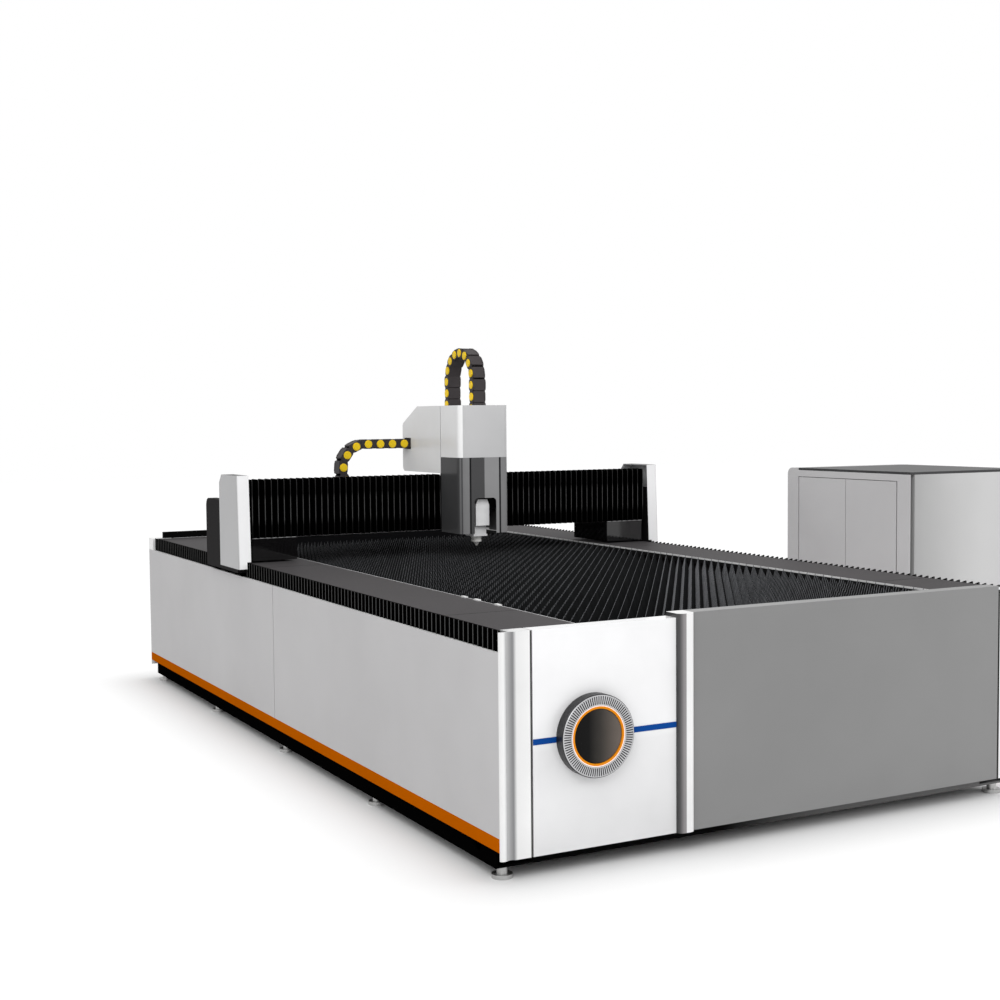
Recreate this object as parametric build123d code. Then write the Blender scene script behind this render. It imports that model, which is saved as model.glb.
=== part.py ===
from build123d import *
import math
import os

# Fiber laser cutting machine: open flatbed, moving gantry, cutting head and supply cabinet.
# Millimetres. Everything is drawn from the bed's own corner: x from its left side face,
# y from its front panel, z from the floor. write_part moves it to the middle of the floor plan.

# Bed outline
bed_width = 2260
bed_length = 4300
end_depth = 60
rear_depth = 95
nose_depth = 10
sheet = 3
fit = 0.3
overrun = 5

# Base frame and levelling feet
foot_height = 40
foot_pad_radius = 35
foot_pad_height = 14
foot_stem_radius = 18
foot_count = 5
foot_end_inset = 30
runner_inset = 12
runner_width = 140
runner_height = 110
tube_wall = 8
base_tie_width = 100
runner_hole_radius = 28

# Side beams, upper ties and rail inner walls
beam_inset = 110
beam_width = 200
guide_drop = 80
beam_wall = 12
upper_tie_width = 80
upper_tie_height = 100
upper_tie_drop = 20
inner_wall = 10

# Side panels and base trims
panel_height = 590
panel_flange = 9
panel_seam = 5
trim_height = 45

# Front and rear panels, columns
column_width = 113
column_round_share = 0.8
flute_x = 36
flute_width = 30
flute_depth = 6
front_lift = 39
low_panel_rise = 2
high_panel_rise = 16
feature_width = 551
divider_width = 68
divider_proud = 18
divider_round_share = 0.3
panel_gap = 4

# Lamp on the feature panel and the accent strip beside it
lamp_inset = 225
lamp_rise = 300
lamp_radius = 136
lamp_proud = 40
lamp_back = 10
lamp_edge = 4
ring_outer_share = 0.73
lens_share = 0.655
ring_recess = 2
lens_recess = 5
lamp_slots = 96
slot_inner_share = 0.76
slot_outer_share = 0.985
slot_width_share = 0.55
slot_depth = 6
accent_drop = 3
accent_height = 19
accent_proud = 1.5

# Rail covers, their inner edge strips and the rim at the rear
rail_slot = 60
cover_outer = 34
cover_lap = 7
cover_first = 405
edge_strip_height = 33
edge_tooth_pitch = 40
edge_tooth_depth = 8
tab_places = (585, 750, 856)
tab_length = 36
tab_width = 14
tab_height = 5
rim_inset = 60
rim_depth = 20
rim_height = 35

# Linear guides and racks along the bed
guide_width = 34
guide_height = 29
guide_end_gap = 40
rack_thickness = 18
rack_height = 40
rack_drop = 20
gear_module = 4
pinion_teeth = 18
pressure_angle = 20
dedendum_share = 1.25
backlash = 0.4
flank_steps = 5

# Slats, their support bars, trays and rear deck
slat_count = 66
slat_teeth = 43
slat_thickness = 3
slat_gap = 9
slat_tip_rise = 2
slat_tooth_depth = 60
slat_height = 105
bar_thickness = 8
bar_height = 100
bar_count = 4
bar_slot_play = 1
deck_gap = 10
deck_height = 36
deck_length = 660
tray_count = 3
tray_gap = 20
tray_height = 370

# Gantry: rest place, beam and what carries it
gantry_front = 2520
end_plate_front = 30
end_plate_length = 492
end_plate_thickness = 42
end_plate_clear = 22
end_plate_height = 330
end_plate_round = 40
arm_lift = 22
arm_thickness = 26
block_length = 110
block_width = 100
block_height = 48
block_lift = 8
block_end_inset = 50
motor_radius = 30
motor_length = 100
motor_flange = 12
gantry_beam_front = 100
gantry_beam_depth = 260
gantry_beam_lift = 117
gantry_beam_height = 240
gantry_beam_wall = 12
beam_flange = 16
beam_flange_inset = 10
beam_flange_clear = 7
foot_block_inset = 33
foot_block_width = 220
foot_block_lift = 9
foot_block_front = 40
foot_block_length = 340

# Gantry end covers
end_cover_play = 1
end_cover_width = 60
end_cover_length = 294
end_cover_gap = 40
end_cover_height = 434
end_cover_chamfer = 45
end_cover_slant = 20
end_cover_round = 8
end_cover_lift = 4

# Linear guides and rack along the gantry beam
x_guide_inset = 40
x_guide_width = 23
x_guide_height = 20
x_block_width = 60
x_block_length = 80
x_block_height = 31
x_rack_rise = 79
x_rack_height = 22
x_rack_thickness = 20
x_gear_module = 2.5
x_pinion_teeth = 24
x_pinion_width = 17

# Bellows
bellows_wall = 3
rail_pleat = 35
rail_bellows_depth = 23
rail_bellows_gap = 2
rail_bellows_top = 5
beam_pleat = 36
beam_bellows_front = 30
beam_bellows_depth = 26
beam_bellows_top = 8
beam_bellows_return = 90
end_cover_clear = 4

# Carriage: rest place and plate
carriage_offset = 26
carriage_width = 270
carriage_plate_width = 250
carriage_plate_rise = 110
carriage_plate_thickness = 30
carriage_plate_lift = 6
shelf_thickness = 12
shelf_front = 50
shelf_rear_gap = 12
carriage_front = 188
shell_wall = 4
shell_round = 40
shroud_drop = 11
shroud_height = 371
shroud_window_width = 120
shroud_window_height = 173
shroud_window_round = 20
shroud_seam = 2
shroud_left_strip = 56
shroud_right_strip = 57
front_housing_height = 254
housing_seam = 5
rear_housing_clear = 5
rear_housing_round = 25
rear_housing_end = 492
rear_chamfer_length = 184
rear_chamfer_height = 89

# Drives on the carriage
x_motor_offset = 88
x_motor_side = 60
x_motor_length = 110
shaft_radius = 8
shaft_hole_play = 6
z_motor_side = 60
z_motor_length = 108
screw_radius = 8
screw_rear_gap = 15
screw_end_gap = 8
z_guide_spread = 60
z_guide_width = 15
z_guide_depth = 15
z_guide_lift = 40
z_guide_end_gap = 10

# Cutting head
slide_width = 80
slide_thickness = 18
slide_lift = 5
slide_height = 195
slide_rear_gap = 32
slide_block_width = 34
slide_block_length = 60
slide_block_lap = 9
nut_width = 24
nut_height = 40
chain_arm_width = 50
chain_arm_thickness = 25
chain_arm_rise = 28
head_width = 73
head_front = 33
head_rise = 108
head_height = 128
head_chamfer_width = 10
head_chamfer_height = 27
head_neck_width = 64
head_neck_height = 54
head_neck_depth = 90
head_flange_width = 76
head_flange_height = 10
nozzle_y = 103
nozzle_rings = 2
nozzle_ring_radius = 25
nozzle_ring_height = 10
nozzle_ring_gap = 4.5
nozzle_waist_radius = 22
nozzle_cone_radius = 16
nozzle_cone_height = 20
nozzle_tip_radius = 4
nozzle_bore_radius = 1.5

# Cable chains
z_chain_width = 70
z_chain_offset = 34
z_chain_front = 109
z_chain_span = 276
z_chain_straight = 125
z_chain_thickness = 48
z_chain_links = 21
x_chain_width = 74
x_chain_rear = 470
x_chain_thickness = 50
x_chain_drop = 250
x_chain_rise = 61
x_chain_reach = 250
x_chain_lower = 500
x_chain_lap = 40
x_chain_hold = 200
x_chain_links = 20
link_gap = 0.5
cap_radius_share = 0.41
cap_proud = 3
chain_play = 4
tray_lip = 45
tray_left = 200
tray_end = 96

# Cabinet
cabinet_gap = 640
cabinet_depth = 760
cabinet_front = 1270
cabinet_length = 916
cabinet_height = 1194
cabinet_plinth = 60
cabinet_post = 88
cabinet_post_depth = 50
cabinet_header = 45
cabinet_sill = 40
cabinet_sheet = 3
cabinet_round = 35
cabinet_groove = 26
cabinet_groove_depth = 40
roof_height = 12
roof_inset = 2
door_thickness = 25
door_gap = 3
door_hinge_gap = 6
door_hinge_inset = 14
pin_radius = 5
pin_length = 24
pin_bore_play = 0.3
laser_length = 620
laser_depth = 520
laser_height = 420
duct_y = 1650
duct_width = 150
duct_wall = 4

# Heights that follow from those sizes
base_top = foot_height + runner_height
side_top = base_top + panel_height
rail_z = side_top + rail_slot
rail_top = rail_z + sheet
beam_top = side_top - guide_drop
tie_top = beam_top - upper_tie_drop
bar_top = tie_top + bar_height
slat_top = rail_top + slat_tip_rise
slat_bottom = slat_top - slat_height
deck_top = bar_top + deck_height
front_bottom = foot_height + front_lift
low_panel_top = rail_top + low_panel_rise
high_panel_top = rail_top + high_panel_rise
lamp_z = base_top + lamp_rise

# Places across and along the bed
rear_y = bed_length - rear_depth
runner_inner = runner_inset + runner_width
beam_inner = beam_inset + beam_width
guide_x = beam_inset + beam_width / 2
cover_inner = beam_inner + cover_lap
strip_inner = cover_inner + sheet
slat_left = strip_inner + slat_gap
bed_middle = bed_width / 2
slat_zone_end = rear_y - deck_length - deck_gap
lamp_x = column_width + lamp_inset
divider_left = column_width + feature_width
divider_right = divider_left + divider_width
right_column = bed_width - column_width

# Gantry places
plate_front = gantry_front + end_plate_front
plate_rear = plate_front + end_plate_length
plate_inner = cover_outer - end_plate_clear
end_plate_proud = end_plate_thickness - plate_inner
cover_overhang = end_plate_proud + end_cover_play + sheet
arm_z = side_top + arm_lift
arm_reach = guide_x + block_width / 2
end_plate_top = arm_z + end_plate_height
block_top = beam_top + block_lift + block_height
pinion_y = (plate_front + plate_rear) / 2
pinion_radius = gear_module * pinion_teeth / 2
rack_pitch_x = beam_inset - rack_thickness
pinion_x = rack_pitch_x - pinion_radius - backlash / 2
rack_top = beam_top - rack_drop
beam_front = gantry_front + gantry_beam_front
beam_rear = beam_front + gantry_beam_depth
gantry_beam_bottom = rail_top + gantry_beam_lift
gantry_beam_top = gantry_beam_bottom + gantry_beam_height
beam_end_x = end_cover_width - cover_overhang + fit
cover_inner_x = end_cover_width - cover_overhang
rail_bellows_outer = cover_outer - rail_bellows_gap - rail_bellows_depth
beam_bellows_high = gantry_beam_top + beam_bellows_depth + beam_bellows_top
end_cover_bottom = side_top + end_cover_gap
end_cover_top = end_cover_bottom + end_cover_height

# Carriage places
carriage_x = bed_middle + carriage_offset
carriage_left = carriage_x - carriage_width / 2
carriage_right = carriage_x + carriage_width / 2
plate_left = carriage_x - carriage_plate_width / 2
plate_right = carriage_x + carriage_plate_width / 2
carriage_plate_front = gantry_front + beam_bellows_front
carriage_plate_rear = carriage_plate_front + carriage_plate_thickness
shroud_front = gantry_front - carriage_front
housing_rear = gantry_front + rear_housing_end
x_pinion_radius = x_gear_module * x_pinion_teeth / 2
x_rack_pitch_z = gantry_beam_bottom + x_rack_rise + x_rack_height - x_gear_module
x_pinion_x = carriage_x + x_motor_offset
x_pinion_z = x_rack_pitch_z + x_pinion_radius + backlash / 2
screw_y = carriage_plate_front - screw_rear_gap
slide_rear = carriage_plate_front - slide_rear_gap
slide_front = slide_rear - slide_thickness
carriage_plate_top = gantry_beam_top + carriage_plate_rise
shelf_top = carriage_plate_top + shelf_thickness
shroud_bottom = gantry_beam_bottom - shroud_drop
shroud_top = shroud_bottom + shroud_height
housing_top = shroud_top + front_housing_height
rear_housing_bottom = beam_bellows_high + rear_housing_clear
z_guide_bottom = gantry_beam_bottom + z_guide_lift
z_guide_top = carriage_plate_top - z_guide_end_gap
slide_bottom = z_guide_bottom + slide_lift
slide_top = slide_bottom + slide_height
chain_arm_top = shelf_top + chain_arm_rise
head_top = slide_bottom + head_rise
head_bottom = head_top - head_height
head_neck_bottom = head_bottom - head_neck_height
nozzle_ring_pitch = nozzle_ring_height + nozzle_ring_gap
nozzle_ring_bottom = head_neck_bottom - nozzle_ring_pitch * nozzle_rings
nozzle_tip = nozzle_ring_bottom - nozzle_cone_height
head_front_y = shroud_front + head_front
nozzle_axis_y = shroud_front + nozzle_y
z_chain_left = carriage_x - z_chain_offset
z_chain_y = gantry_front - z_chain_front
x_chain_upper = shelf_top + x_chain_rise
x_chain_bend = carriage_left - x_chain_reach
x_chain_end = x_chain_bend + x_chain_lower
tray_right = x_chain_end + tray_end
x_chain_y = gantry_front + x_chain_rear - x_chain_width
x_chain_bottom = x_chain_upper - x_chain_drop - x_chain_thickness / 2

# Cabinet places
cabinet_x = bed_width + cabinet_gap
cabinet_rear = cabinet_front + cabinet_length
cabinet_far = cabinet_x + cabinet_depth
door_low_y = cabinet_front + cabinet_post
door_high_y = cabinet_rear - cabinet_post
door_middle = (door_low_y + door_high_y) / 2
door_bottom = cabinet_plinth + cabinet_sill
duct_height = foot_height
door_top = cabinet_height - cabinet_header
hinge_x = cabinet_x + door_thickness / 2
hinge_low_y = door_low_y + door_hinge_gap + door_hinge_inset
hinge_high_y = door_high_y - door_hinge_gap - door_hinge_inset

# The origin is the middle of the floor plan
left_x = -(cabinet_far - cover_overhang) / 2
front_y = -(bed_length - lamp_proud) / 2


# Writes one node, moved to the part's origin
def write_part(name, shapes):
    solids = [solid for shape in shapes for solid in shape.solids()]
    moved = [Pos(left_x, front_y, 0) * solid for solid in solids]
    shape = moved[0] if len(moved) == 1 else Compound(moved)
    export_step(shape, f"parts/{name}.step")


# Box between two corners
def block(x0, x1, y0, y1, z0, z1):
    box = Box(x1 - x0, y1 - y0, z1 - z0, align=(Align.MIN, Align.MIN, Align.MIN))
    return Pos(x0, y0, z0) * box


# A left-hand shape and its mirror image on the right of the bed
def both_sides(shape):
    return [shape, mirror(shape, about=Plane.YZ.offset(bed_middle))]


# Outline in x and z, made solid from y0 to y1
def prism_y(points, y0, y1):
    face = make_face(Polyline(*points, close=True))
    return extrude(Plane.XZ.offset(-y0) * face, amount=y0 - y1)


# Outline in y and z, made solid from x0 to x1
def prism_x(points, x0, x1):
    face = make_face(Polyline(*points, close=True))
    return extrude(Plane.YZ.offset(x0) * face, amount=x1 - x0)


# Outline in x and y, made solid from z0 to z1
def prism_z(points, z0, z1):
    face = make_face(Polyline(*points, close=True))
    return extrude(Plane.XY.offset(z0) * face, amount=z1 - z0)


# Round bar along one axis, from its centre at one end
def rod(axis, centre, radius, length):
    turn = {"x": Rot(0, 90, 0), "y": Rot(-90, 0, 0), "z": Rot(0, 0, 0)}[axis]
    bar = Cylinder(radius, length, align=(Align.CENTER, Align.CENTER, Align.MIN))
    return Pos(*centre) * turn * bar


# Edges along z, nearest the front first
def upright_edges(shape):
    return shape.edges().filter_by(Axis.Z).sort_by(Axis.Y)


# Closed solid through rings of points, with flat faces between each two rings
def pleated(rings):
    faces = [Face(Wire.make_polygon(rings[0])), Face(Wire.make_polygon(rings[-1]))]
    for ring, following in zip(rings, rings[1:]):
        for index in range(len(ring)):
            corners = [ring[index - 1], ring[index], following[index], following[index - 1]]
            faces.append(Face(Wire.make_polygon(corners)))
    return Solid(Shell(faces))


# Places of ridges and valleys between two ends, about a pitch apart
def pleat_stations(start, end, pitch):
    halves = 2 * round(abs(end - start) / pitch)
    return [start + (end - start) * index / halves for index in range(halves + 1)]


# Tooth points of a rack along s, heights from its pitch line, one space centred on gap_s
def rack_teeth(low, high, gap_s, module):
    pitch = math.pi * module
    half = pitch / 4 - backlash / 4
    slope = math.tan(math.radians(pressure_angle))
    root = -dedendum_share * module
    first = math.ceil((low - gap_s) / pitch)
    last = math.floor((high - gap_s) / pitch)
    points = []
    for index in range(first, last):
        centre = gap_s + (index + 1 / 2) * pitch
        points.append((centre - half + slope * root, root))
        points.append((centre - half + slope * module, module))
        points.append((centre + half - slope * module, module))
        points.append((centre + half - slope * root, root))
    return points


# Outline of an involute pinion with one tooth centred on the given angle
def pinion_outline(module, teeth, tooth_angle):
    radius = module * teeth / 2
    base = radius * math.cos(math.radians(pressure_angle))
    tip = radius + module
    root = radius - dedendum_share * module
    involute = math.tan(math.radians(pressure_angle)) - math.radians(pressure_angle)
    half = (math.pi * module / 2 - backlash / 2) / (2 * radius)
    flank = []
    for step in range(flank_steps + 1):
        r = base + (tip - base) * step / flank_steps
        turn = math.acos(base / r)
        flank.append((r, half + involute - (math.tan(turn) - turn)))
    flank.insert(0, (root, flank[0][1]))
    points = []
    for index in range(teeth):
        centre = math.radians(tooth_angle) + 2 * math.pi * index / teeth
        rising = [(r, centre - angle) for r, angle in flank]
        falling = [(r, centre + angle) for r, angle in reversed(flank)]
        points += [(r * math.cos(a), r * math.sin(a)) for r, a in rising + falling]
    return points


# Base frame: two long runners with cross ties, one welded piece
def base_frame():
    right = bed_width - runner_inset
    frame = block(runner_inset, runner_inner, end_depth, rear_y, foot_height, base_top)
    frame += block(bed_width - runner_inner, right, end_depth, rear_y, foot_height, base_top)
    for y in foot_places():
        low = min(max(y - base_tie_width / 2, end_depth), rear_y - base_tie_width)
        high = low + base_tie_width
        frame += block(runner_inner, bed_width - runner_inner, low, high, foot_height, base_top)
    for inner in (runner_inset, bed_width - runner_inner):
        frame -= block(
            inner + tube_wall, inner + runner_width - tube_wall,
            end_depth - overrun, rear_y + overrun,
            foot_height + tube_wall, base_top - tube_wall,
        )
    hole_z = (foot_height + base_top) / 2
    hole_y = end_depth + base_tie_width + foot_end_inset
    frame -= rod("x", (-overrun, hole_y, hole_z), runner_hole_radius, bed_width + 2 * overrun)
    return [frame]


# Places of the feet along the bed
def foot_places():
    first = end_depth + foot_end_inset
    pitch = (rear_y - foot_end_inset - first) / (foot_count - 1)
    return [first + pitch * index for index in range(foot_count)]


# Jack feet under the runners
def levelling_feet():
    feet = []
    x = runner_inset + foot_end_inset + tube_wall
    for y in foot_places():
        foot = rod("z", (x, y, 0), foot_pad_radius, foot_pad_height)
        foot += rod("z", (x, y, 0), foot_stem_radius, foot_height)
        feet += both_sides(foot)
    return feet


# Bed frame: closed box beams along the sides, and ties between them that carry the slat bars
def bed_frame():
    beam = block(beam_inset, beam_inner, end_depth, rear_y, base_top, beam_top)
    beam -= block(
        beam_inset + beam_wall, beam_inner - beam_wall,
        end_depth + beam_wall, rear_y - beam_wall,
        base_top + beam_wall, beam_top - beam_wall,
    )
    ties = []
    for y in foot_places():
        low = min(max(y - upper_tie_width / 2, end_depth), rear_y - upper_tie_width)
        ties.append(block(
            beam_inner, bed_width - beam_inner, low, low + upper_tie_width,
            tie_top - upper_tie_height, tie_top,
        ))
    return both_sides(beam) + ties


# Upright plates on the side beams that carry the rail covers
def rail_inner_walls():
    return both_sides(block(beam_inner - inner_wall, beam_inner, end_depth, rear_y, beam_top, rail_z))


# Folded side panels, two a side, with a seam at half length
def side_panels():
    panels = []
    middle = bed_length / 2
    ends = (nose_depth, middle - panel_seam / 2, middle + panel_seam / 2, bed_length - nose_depth)
    for y0, y1 in (ends[:2], ends[2:]):
        panel = block(0, sheet + panel_flange, y0, y1, base_top, side_top)
        panel -= block(
            sheet, sheet + panel_flange + overrun, y0 + sheet, y1 - sheet,
            base_top + sheet, side_top - sheet,
        )
        panels += both_sides(panel)
    return panels


# Base trims: folded strips on the runners that carry the side panels
def base_trims():
    y1 = bed_length - nose_depth
    trim = block(0, sheet, nose_depth, y1, base_top - trim_height, base_top)
    trim += block(sheet, runner_inset, nose_depth, y1, base_top - sheet, base_top)
    return both_sides(trim)


# Corner post: a fluted nose that laps the end of the side panel, and a body behind it
def corner_column(depth):
    post = block(0, column_width, 0, nose_depth, front_bottom, low_panel_top)
    nose = post.edges().filter_by(Axis.Z).sort_by(lambda edge: edge.center().X + edge.center().Y)[0]
    post = fillet(nose, nose_depth * column_round_share)
    post += block(cover_outer, column_width, nose_depth, depth, front_bottom, low_panel_top)
    flute_radius = (flute_width ** 2 / 4 + flute_depth ** 2) / (2 * flute_depth)
    flute_base = (flute_x, flute_depth - flute_radius, front_bottom - overrun)
    return post - rod("z", flute_base, flute_radius, low_panel_top - front_bottom + 2 * overrun)


# The four corner posts; the rear ones have a full-width head above the side panels
def corner_columns():
    front = corner_column(end_depth)
    rear = mirror(corner_column(rear_depth), about=Plane.XZ.offset(-bed_length / 2))
    rear += block(0, column_width, rear_y, bed_length - nose_depth, side_top + fit, low_panel_top)
    return both_sides(front) + both_sides(rear)


# Proud post between the feature panel and the front panel
def divider_column():
    post = block(divider_left, divider_right, -divider_proud, end_depth, front_bottom, high_panel_top)
    return [fillet(upright_edges(post)[:2], divider_width * divider_round_share)]


# Folded panel that faces along y, with its face at y0 and its flanges towards y1
def face_panel(x0, x1, y0, y1, z0, z1):
    inward = math.copysign(sheet, y1 - y0)
    panel = block(x0, x1, min(y0, y1), max(y0, y1), z0, z1)
    low, high = sorted((y0 + inward, y1 + inward))
    return panel - block(x0 + sheet, x1 - sheet, low, high, z0 + sheet, z1 - sheet)


# White panel between the left column and the divider
def feature_panel():
    return [face_panel(
        column_width + panel_gap, divider_left, 0, end_depth, front_bottom, low_panel_top,
    )]


# Plain panel from the divider to the right column
def front_panel():
    return [face_panel(divider_right, right_column - panel_gap, 0, end_depth, front_bottom, high_panel_top)]


# Plain panel across the rear
def rear_panel():
    return [face_panel(
        column_width + panel_gap, right_column - panel_gap, bed_length, rear_y, front_bottom, low_panel_top,
    )]


# Slotted lamp ring, cup shaped, on the feature panel
def lamp_housing():
    inner = lamp_radius * ring_outer_share
    cup = rod("y", (lamp_x, -lamp_proud, lamp_z), lamp_radius, lamp_proud)
    cup = chamfer(cup.edges().sort_by(Axis.Y)[0], lamp_edge)
    cup -= rod("y", (lamp_x, -lamp_proud - overrun, lamp_z), inner, lamp_proud + overrun - lamp_back)
    slot_in = lamp_radius * slot_inner_share
    slot_out = lamp_radius * slot_outer_share - lamp_edge
    width = 2 * math.pi * slot_in / lamp_slots * slot_width_share
    front = -lamp_proud
    slot = block(slot_in, slot_out, front - overrun, front + slot_depth, -width / 2, width / 2)
    place = Pos(lamp_x, 0, lamp_z)
    slots = [place * Rot(0, 360 * index / lamp_slots, 0) * slot for index in range(lamp_slots)]
    return [cup.cut(*slots)]


# Ring of light round the lens
def lamp_light_ring():
    outer = lamp_radius * ring_outer_share - fit
    inner = lamp_radius * lens_share + fit
    front = -lamp_proud + ring_recess
    ring = rod("y", (lamp_x, front, lamp_z), outer, -lamp_back - front)
    ring -= rod("y", (lamp_x, front - overrun, lamp_z), inner, overrun - lamp_back - front + overrun)
    return [ring]


# Black lens disc
def lamp_lens():
    front = -lamp_proud + lens_recess
    disc = rod("y", (lamp_x, front, lamp_z), lamp_radius * lens_share, -lamp_back - front)
    return [chamfer(disc.edges().sort_by(Axis.Y)[0], ring_recess)]


# Thin strips either side of the lamp
def accent_strips():
    low = lamp_z - accent_drop - accent_height / 2
    high = low + accent_height
    left = block(column_width + panel_gap, lamp_x - lamp_radius - fit, -accent_proud, 0, low, high)
    right = block(lamp_x + lamp_radius + fit, divider_left, -accent_proud, 0, low, high)
    return [left, right]


# Flat plates over the linear guides, and the rim across the rear panel
def rail_covers():
    plates = []
    first_seam = end_depth + cover_first
    starts = (end_depth, first_seam, (first_seam + rear_y) / 2)
    ends = (starts[1] - panel_gap, starts[2] - panel_gap, rear_y)
    for y0, y1 in zip(starts, ends):
        plates += both_sides(block(cover_outer, cover_inner, y0, y1, rail_z, rail_top))
    rim_top = low_panel_top + rim_height
    plates.append(block(rim_inset, bed_width - rim_inset, rear_y, rear_y + rim_depth, low_panel_top, rim_top))
    return plates


# Upright strips along the inner edge of the rail covers, notched along the foot, and the left one's tabs
def rail_edge_strips():
    low = rail_top - edge_strip_height
    points = [(end_depth, rail_top), (end_depth, low + edge_tooth_depth)]
    count = int((rear_y - end_depth) / edge_tooth_pitch)
    pitch = (rear_y - end_depth) / count
    for index in range(count):
        start = end_depth + pitch * index
        points += [(start + pitch / 4, low + edge_tooth_depth), (start + pitch / 4, low)]
        points += [(start + pitch * 3 / 4, low), (start + pitch * 3 / 4, low + edge_tooth_depth)]
    points += [(rear_y, low + edge_tooth_depth), (rear_y, rail_top)]
    tab_left = strip_inner - tab_width
    tab_top = rail_top + tab_height
    tabs = [block(tab_left, strip_inner, y, y + tab_length, rail_top, tab_top) for y in tab_places]
    return both_sides(prism_x(points, cover_inner, strip_inner)) + tabs


# Profiled rails on the side beams
def y_guide_rails():
    low = guide_x - guide_width / 2
    y0 = end_depth + guide_end_gap
    y1 = rear_y - guide_end_gap
    return both_sides(block(low, low + guide_width, y0, y1, beam_top, beam_top + guide_height))


# Racks on the outer faces of the side beams
def y_racks():
    y0 = end_depth + guide_end_gap
    y1 = rear_y - guide_end_gap
    teeth = rack_teeth(y0, y1, pinion_y, gear_module)
    points = [(beam_inset, teeth[0][0])]
    points += [(rack_pitch_x - height, along) for along, height in teeth]
    points += [(beam_inset, teeth[-1][0])]
    return both_sides(prism_z(points, rack_top - rack_height, rack_top))


# Places of the slats along the bed
def slat_places():
    first = end_depth + slat_gap
    pitch = (slat_zone_end - first) / slat_count
    return [first + pitch * index for index in range(slat_count)]


# One saw-tooth slat at y = 0
def slat():
    right = bed_width - slat_left
    pitch = (right - slat_left) / slat_teeth
    valley = slat_top - slat_tooth_depth
    points = [(right, slat_bottom), (slat_left, slat_bottom), (slat_left, slat_top)]
    for index in range(slat_teeth):
        points.append((slat_left + pitch * (index + 1 / 2), valley))
        points.append((slat_left + pitch * (index + 1), slat_top))
    return prism_y(points, 0, slat_thickness)


# The front half or the rear half of the slats
def slats(half):
    one = slat()
    places = slat_places()
    middle = len(places) // 2
    chosen = places[:middle] if half == "front" else places[middle:]
    return [Pos(0, y, 0) * one for y in chosen]


# Upright bars with a slot for each slat
def slat_supports():
    points = [(rear_y, tie_top), (end_depth, tie_top), (end_depth, bar_top)]
    for y in slat_places():
        low = y - bar_slot_play / 2
        high = y + slat_thickness + bar_slot_play / 2
        points += [(low, bar_top), (low, slat_bottom), (high, slat_bottom), (high, bar_top)]
    points.append((rear_y, bar_top))
    bar = prism_x(points, 0, bar_thickness)
    first = slat_left - slat_gap / 2
    spacing = (bed_width - 2 * first - bar_thickness) / (bar_count - 1)
    return [Pos(first + spacing * index, 0, 0) * bar for index in range(bar_count)]


# Scrap trays on the base ties
def scrap_trays():
    trays = []
    length = (rear_y - end_depth - tray_gap * (tray_count + 1)) / tray_count
    x0 = beam_inner + tray_gap
    x1 = bed_width - x0
    for index in range(tray_count):
        y0 = end_depth + tray_gap + (length + tray_gap) * index
        tray = block(x0, x1, y0, y0 + length, base_top, base_top + tray_height)
        tray -= block(
            x0 + sheet, x1 - sheet, y0 + sheet, y0 + length - sheet,
            base_top + sheet, base_top + tray_height + overrun,
        )
        trays.append(tray)
    return trays


# Folded cover behind the slats, on the slat bars
def rear_deck():
    x0 = slat_left
    x1 = bed_width - slat_left
    y0 = slat_zone_end + deck_gap
    deck = block(x0, x1, y0, rear_y, bar_top, deck_top)
    deck -= block(
        x0 + sheet, x1 - sheet, y0 + sheet, rear_y - sheet, bar_top - overrun, deck_top - sheet,
    )
    return [deck]


# One run of pleats beside the rail covers
def rail_bellows_run(y0, y1):
    rings = []
    for index, y in enumerate(pleat_stations(y0, y1, rail_pleat)):
        x = rail_bellows_outer if index % 2 else cover_outer - rail_bellows_gap - bellows_wall
        low = side_top + fit
        high = rail_top + rail_bellows_top
        rings.append([(x, y, low), (x + bellows_wall, y, low), (x + bellows_wall, y, high), (x, y, high)])
    return pleated(rings)


# Bellows that close the slots in front of and behind the gantry
def rail_bellows():
    front = rail_bellows_run(nose_depth, plate_front)
    rear = rail_bellows_run(plate_rear, rear_y)
    return both_sides(front) + both_sides(rear)


# Duct on the floor from the base frame to the cabinet
def cable_duct():
    x0 = bed_width - runner_inner
    duct = block(x0, cabinet_x, duct_y, duct_y + duct_width, 0, duct_height)
    duct -= block(
        x0 - overrun, cabinet_x + overrun, duct_y + duct_wall, duct_y + duct_width - duct_wall,
        duct_wall, duct_height - duct_wall,
    )
    return [duct]


# Gantry beam: closed box with end flanges
def gantry_beam():
    beam = block(
        beam_end_x, bed_width - beam_end_x, beam_front, beam_rear, gantry_beam_bottom, gantry_beam_top,
    )
    beam += block(
        plate_inner, bed_width - plate_inner,
        beam_front + beam_flange_inset, beam_rear - beam_flange_inset,
        gantry_beam_bottom + beam_flange_inset, end_plate_top - beam_flange_clear,
    )
    beam -= block(
        beam_end_x + beam_flange, bed_width - beam_end_x - beam_flange,
        beam_front + gantry_beam_wall, beam_rear - gantry_beam_wall,
        gantry_beam_bottom + gantry_beam_wall, gantry_beam_top - gantry_beam_wall,
    )
    return [beam]


# End plates outside the rail covers, each with the arm that reaches in to the guides
def gantry_end_plates():
    plate = block(-end_plate_proud, plate_inner, plate_front, plate_rear, arm_z, end_plate_top)
    corner = plate.edges().filter_by(Axis.X).sort_by(lambda edge: edge.center().Y + edge.center().Z)[-1]
    plate = fillet(corner, end_plate_round)
    plate += block(plate_inner, arm_reach, plate_front, plate_rear, arm_z, arm_z + arm_thickness)
    for y in block_places():
        low = guide_x - block_width / 2
        plate += block(low, low + block_width, y, y + block_length, block_top, arm_z)
    return both_sides(plate)


# Places of the guide blocks along the arm
def block_places():
    return [plate_front + block_end_inset, plate_rear - block_end_inset - block_length]


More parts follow.
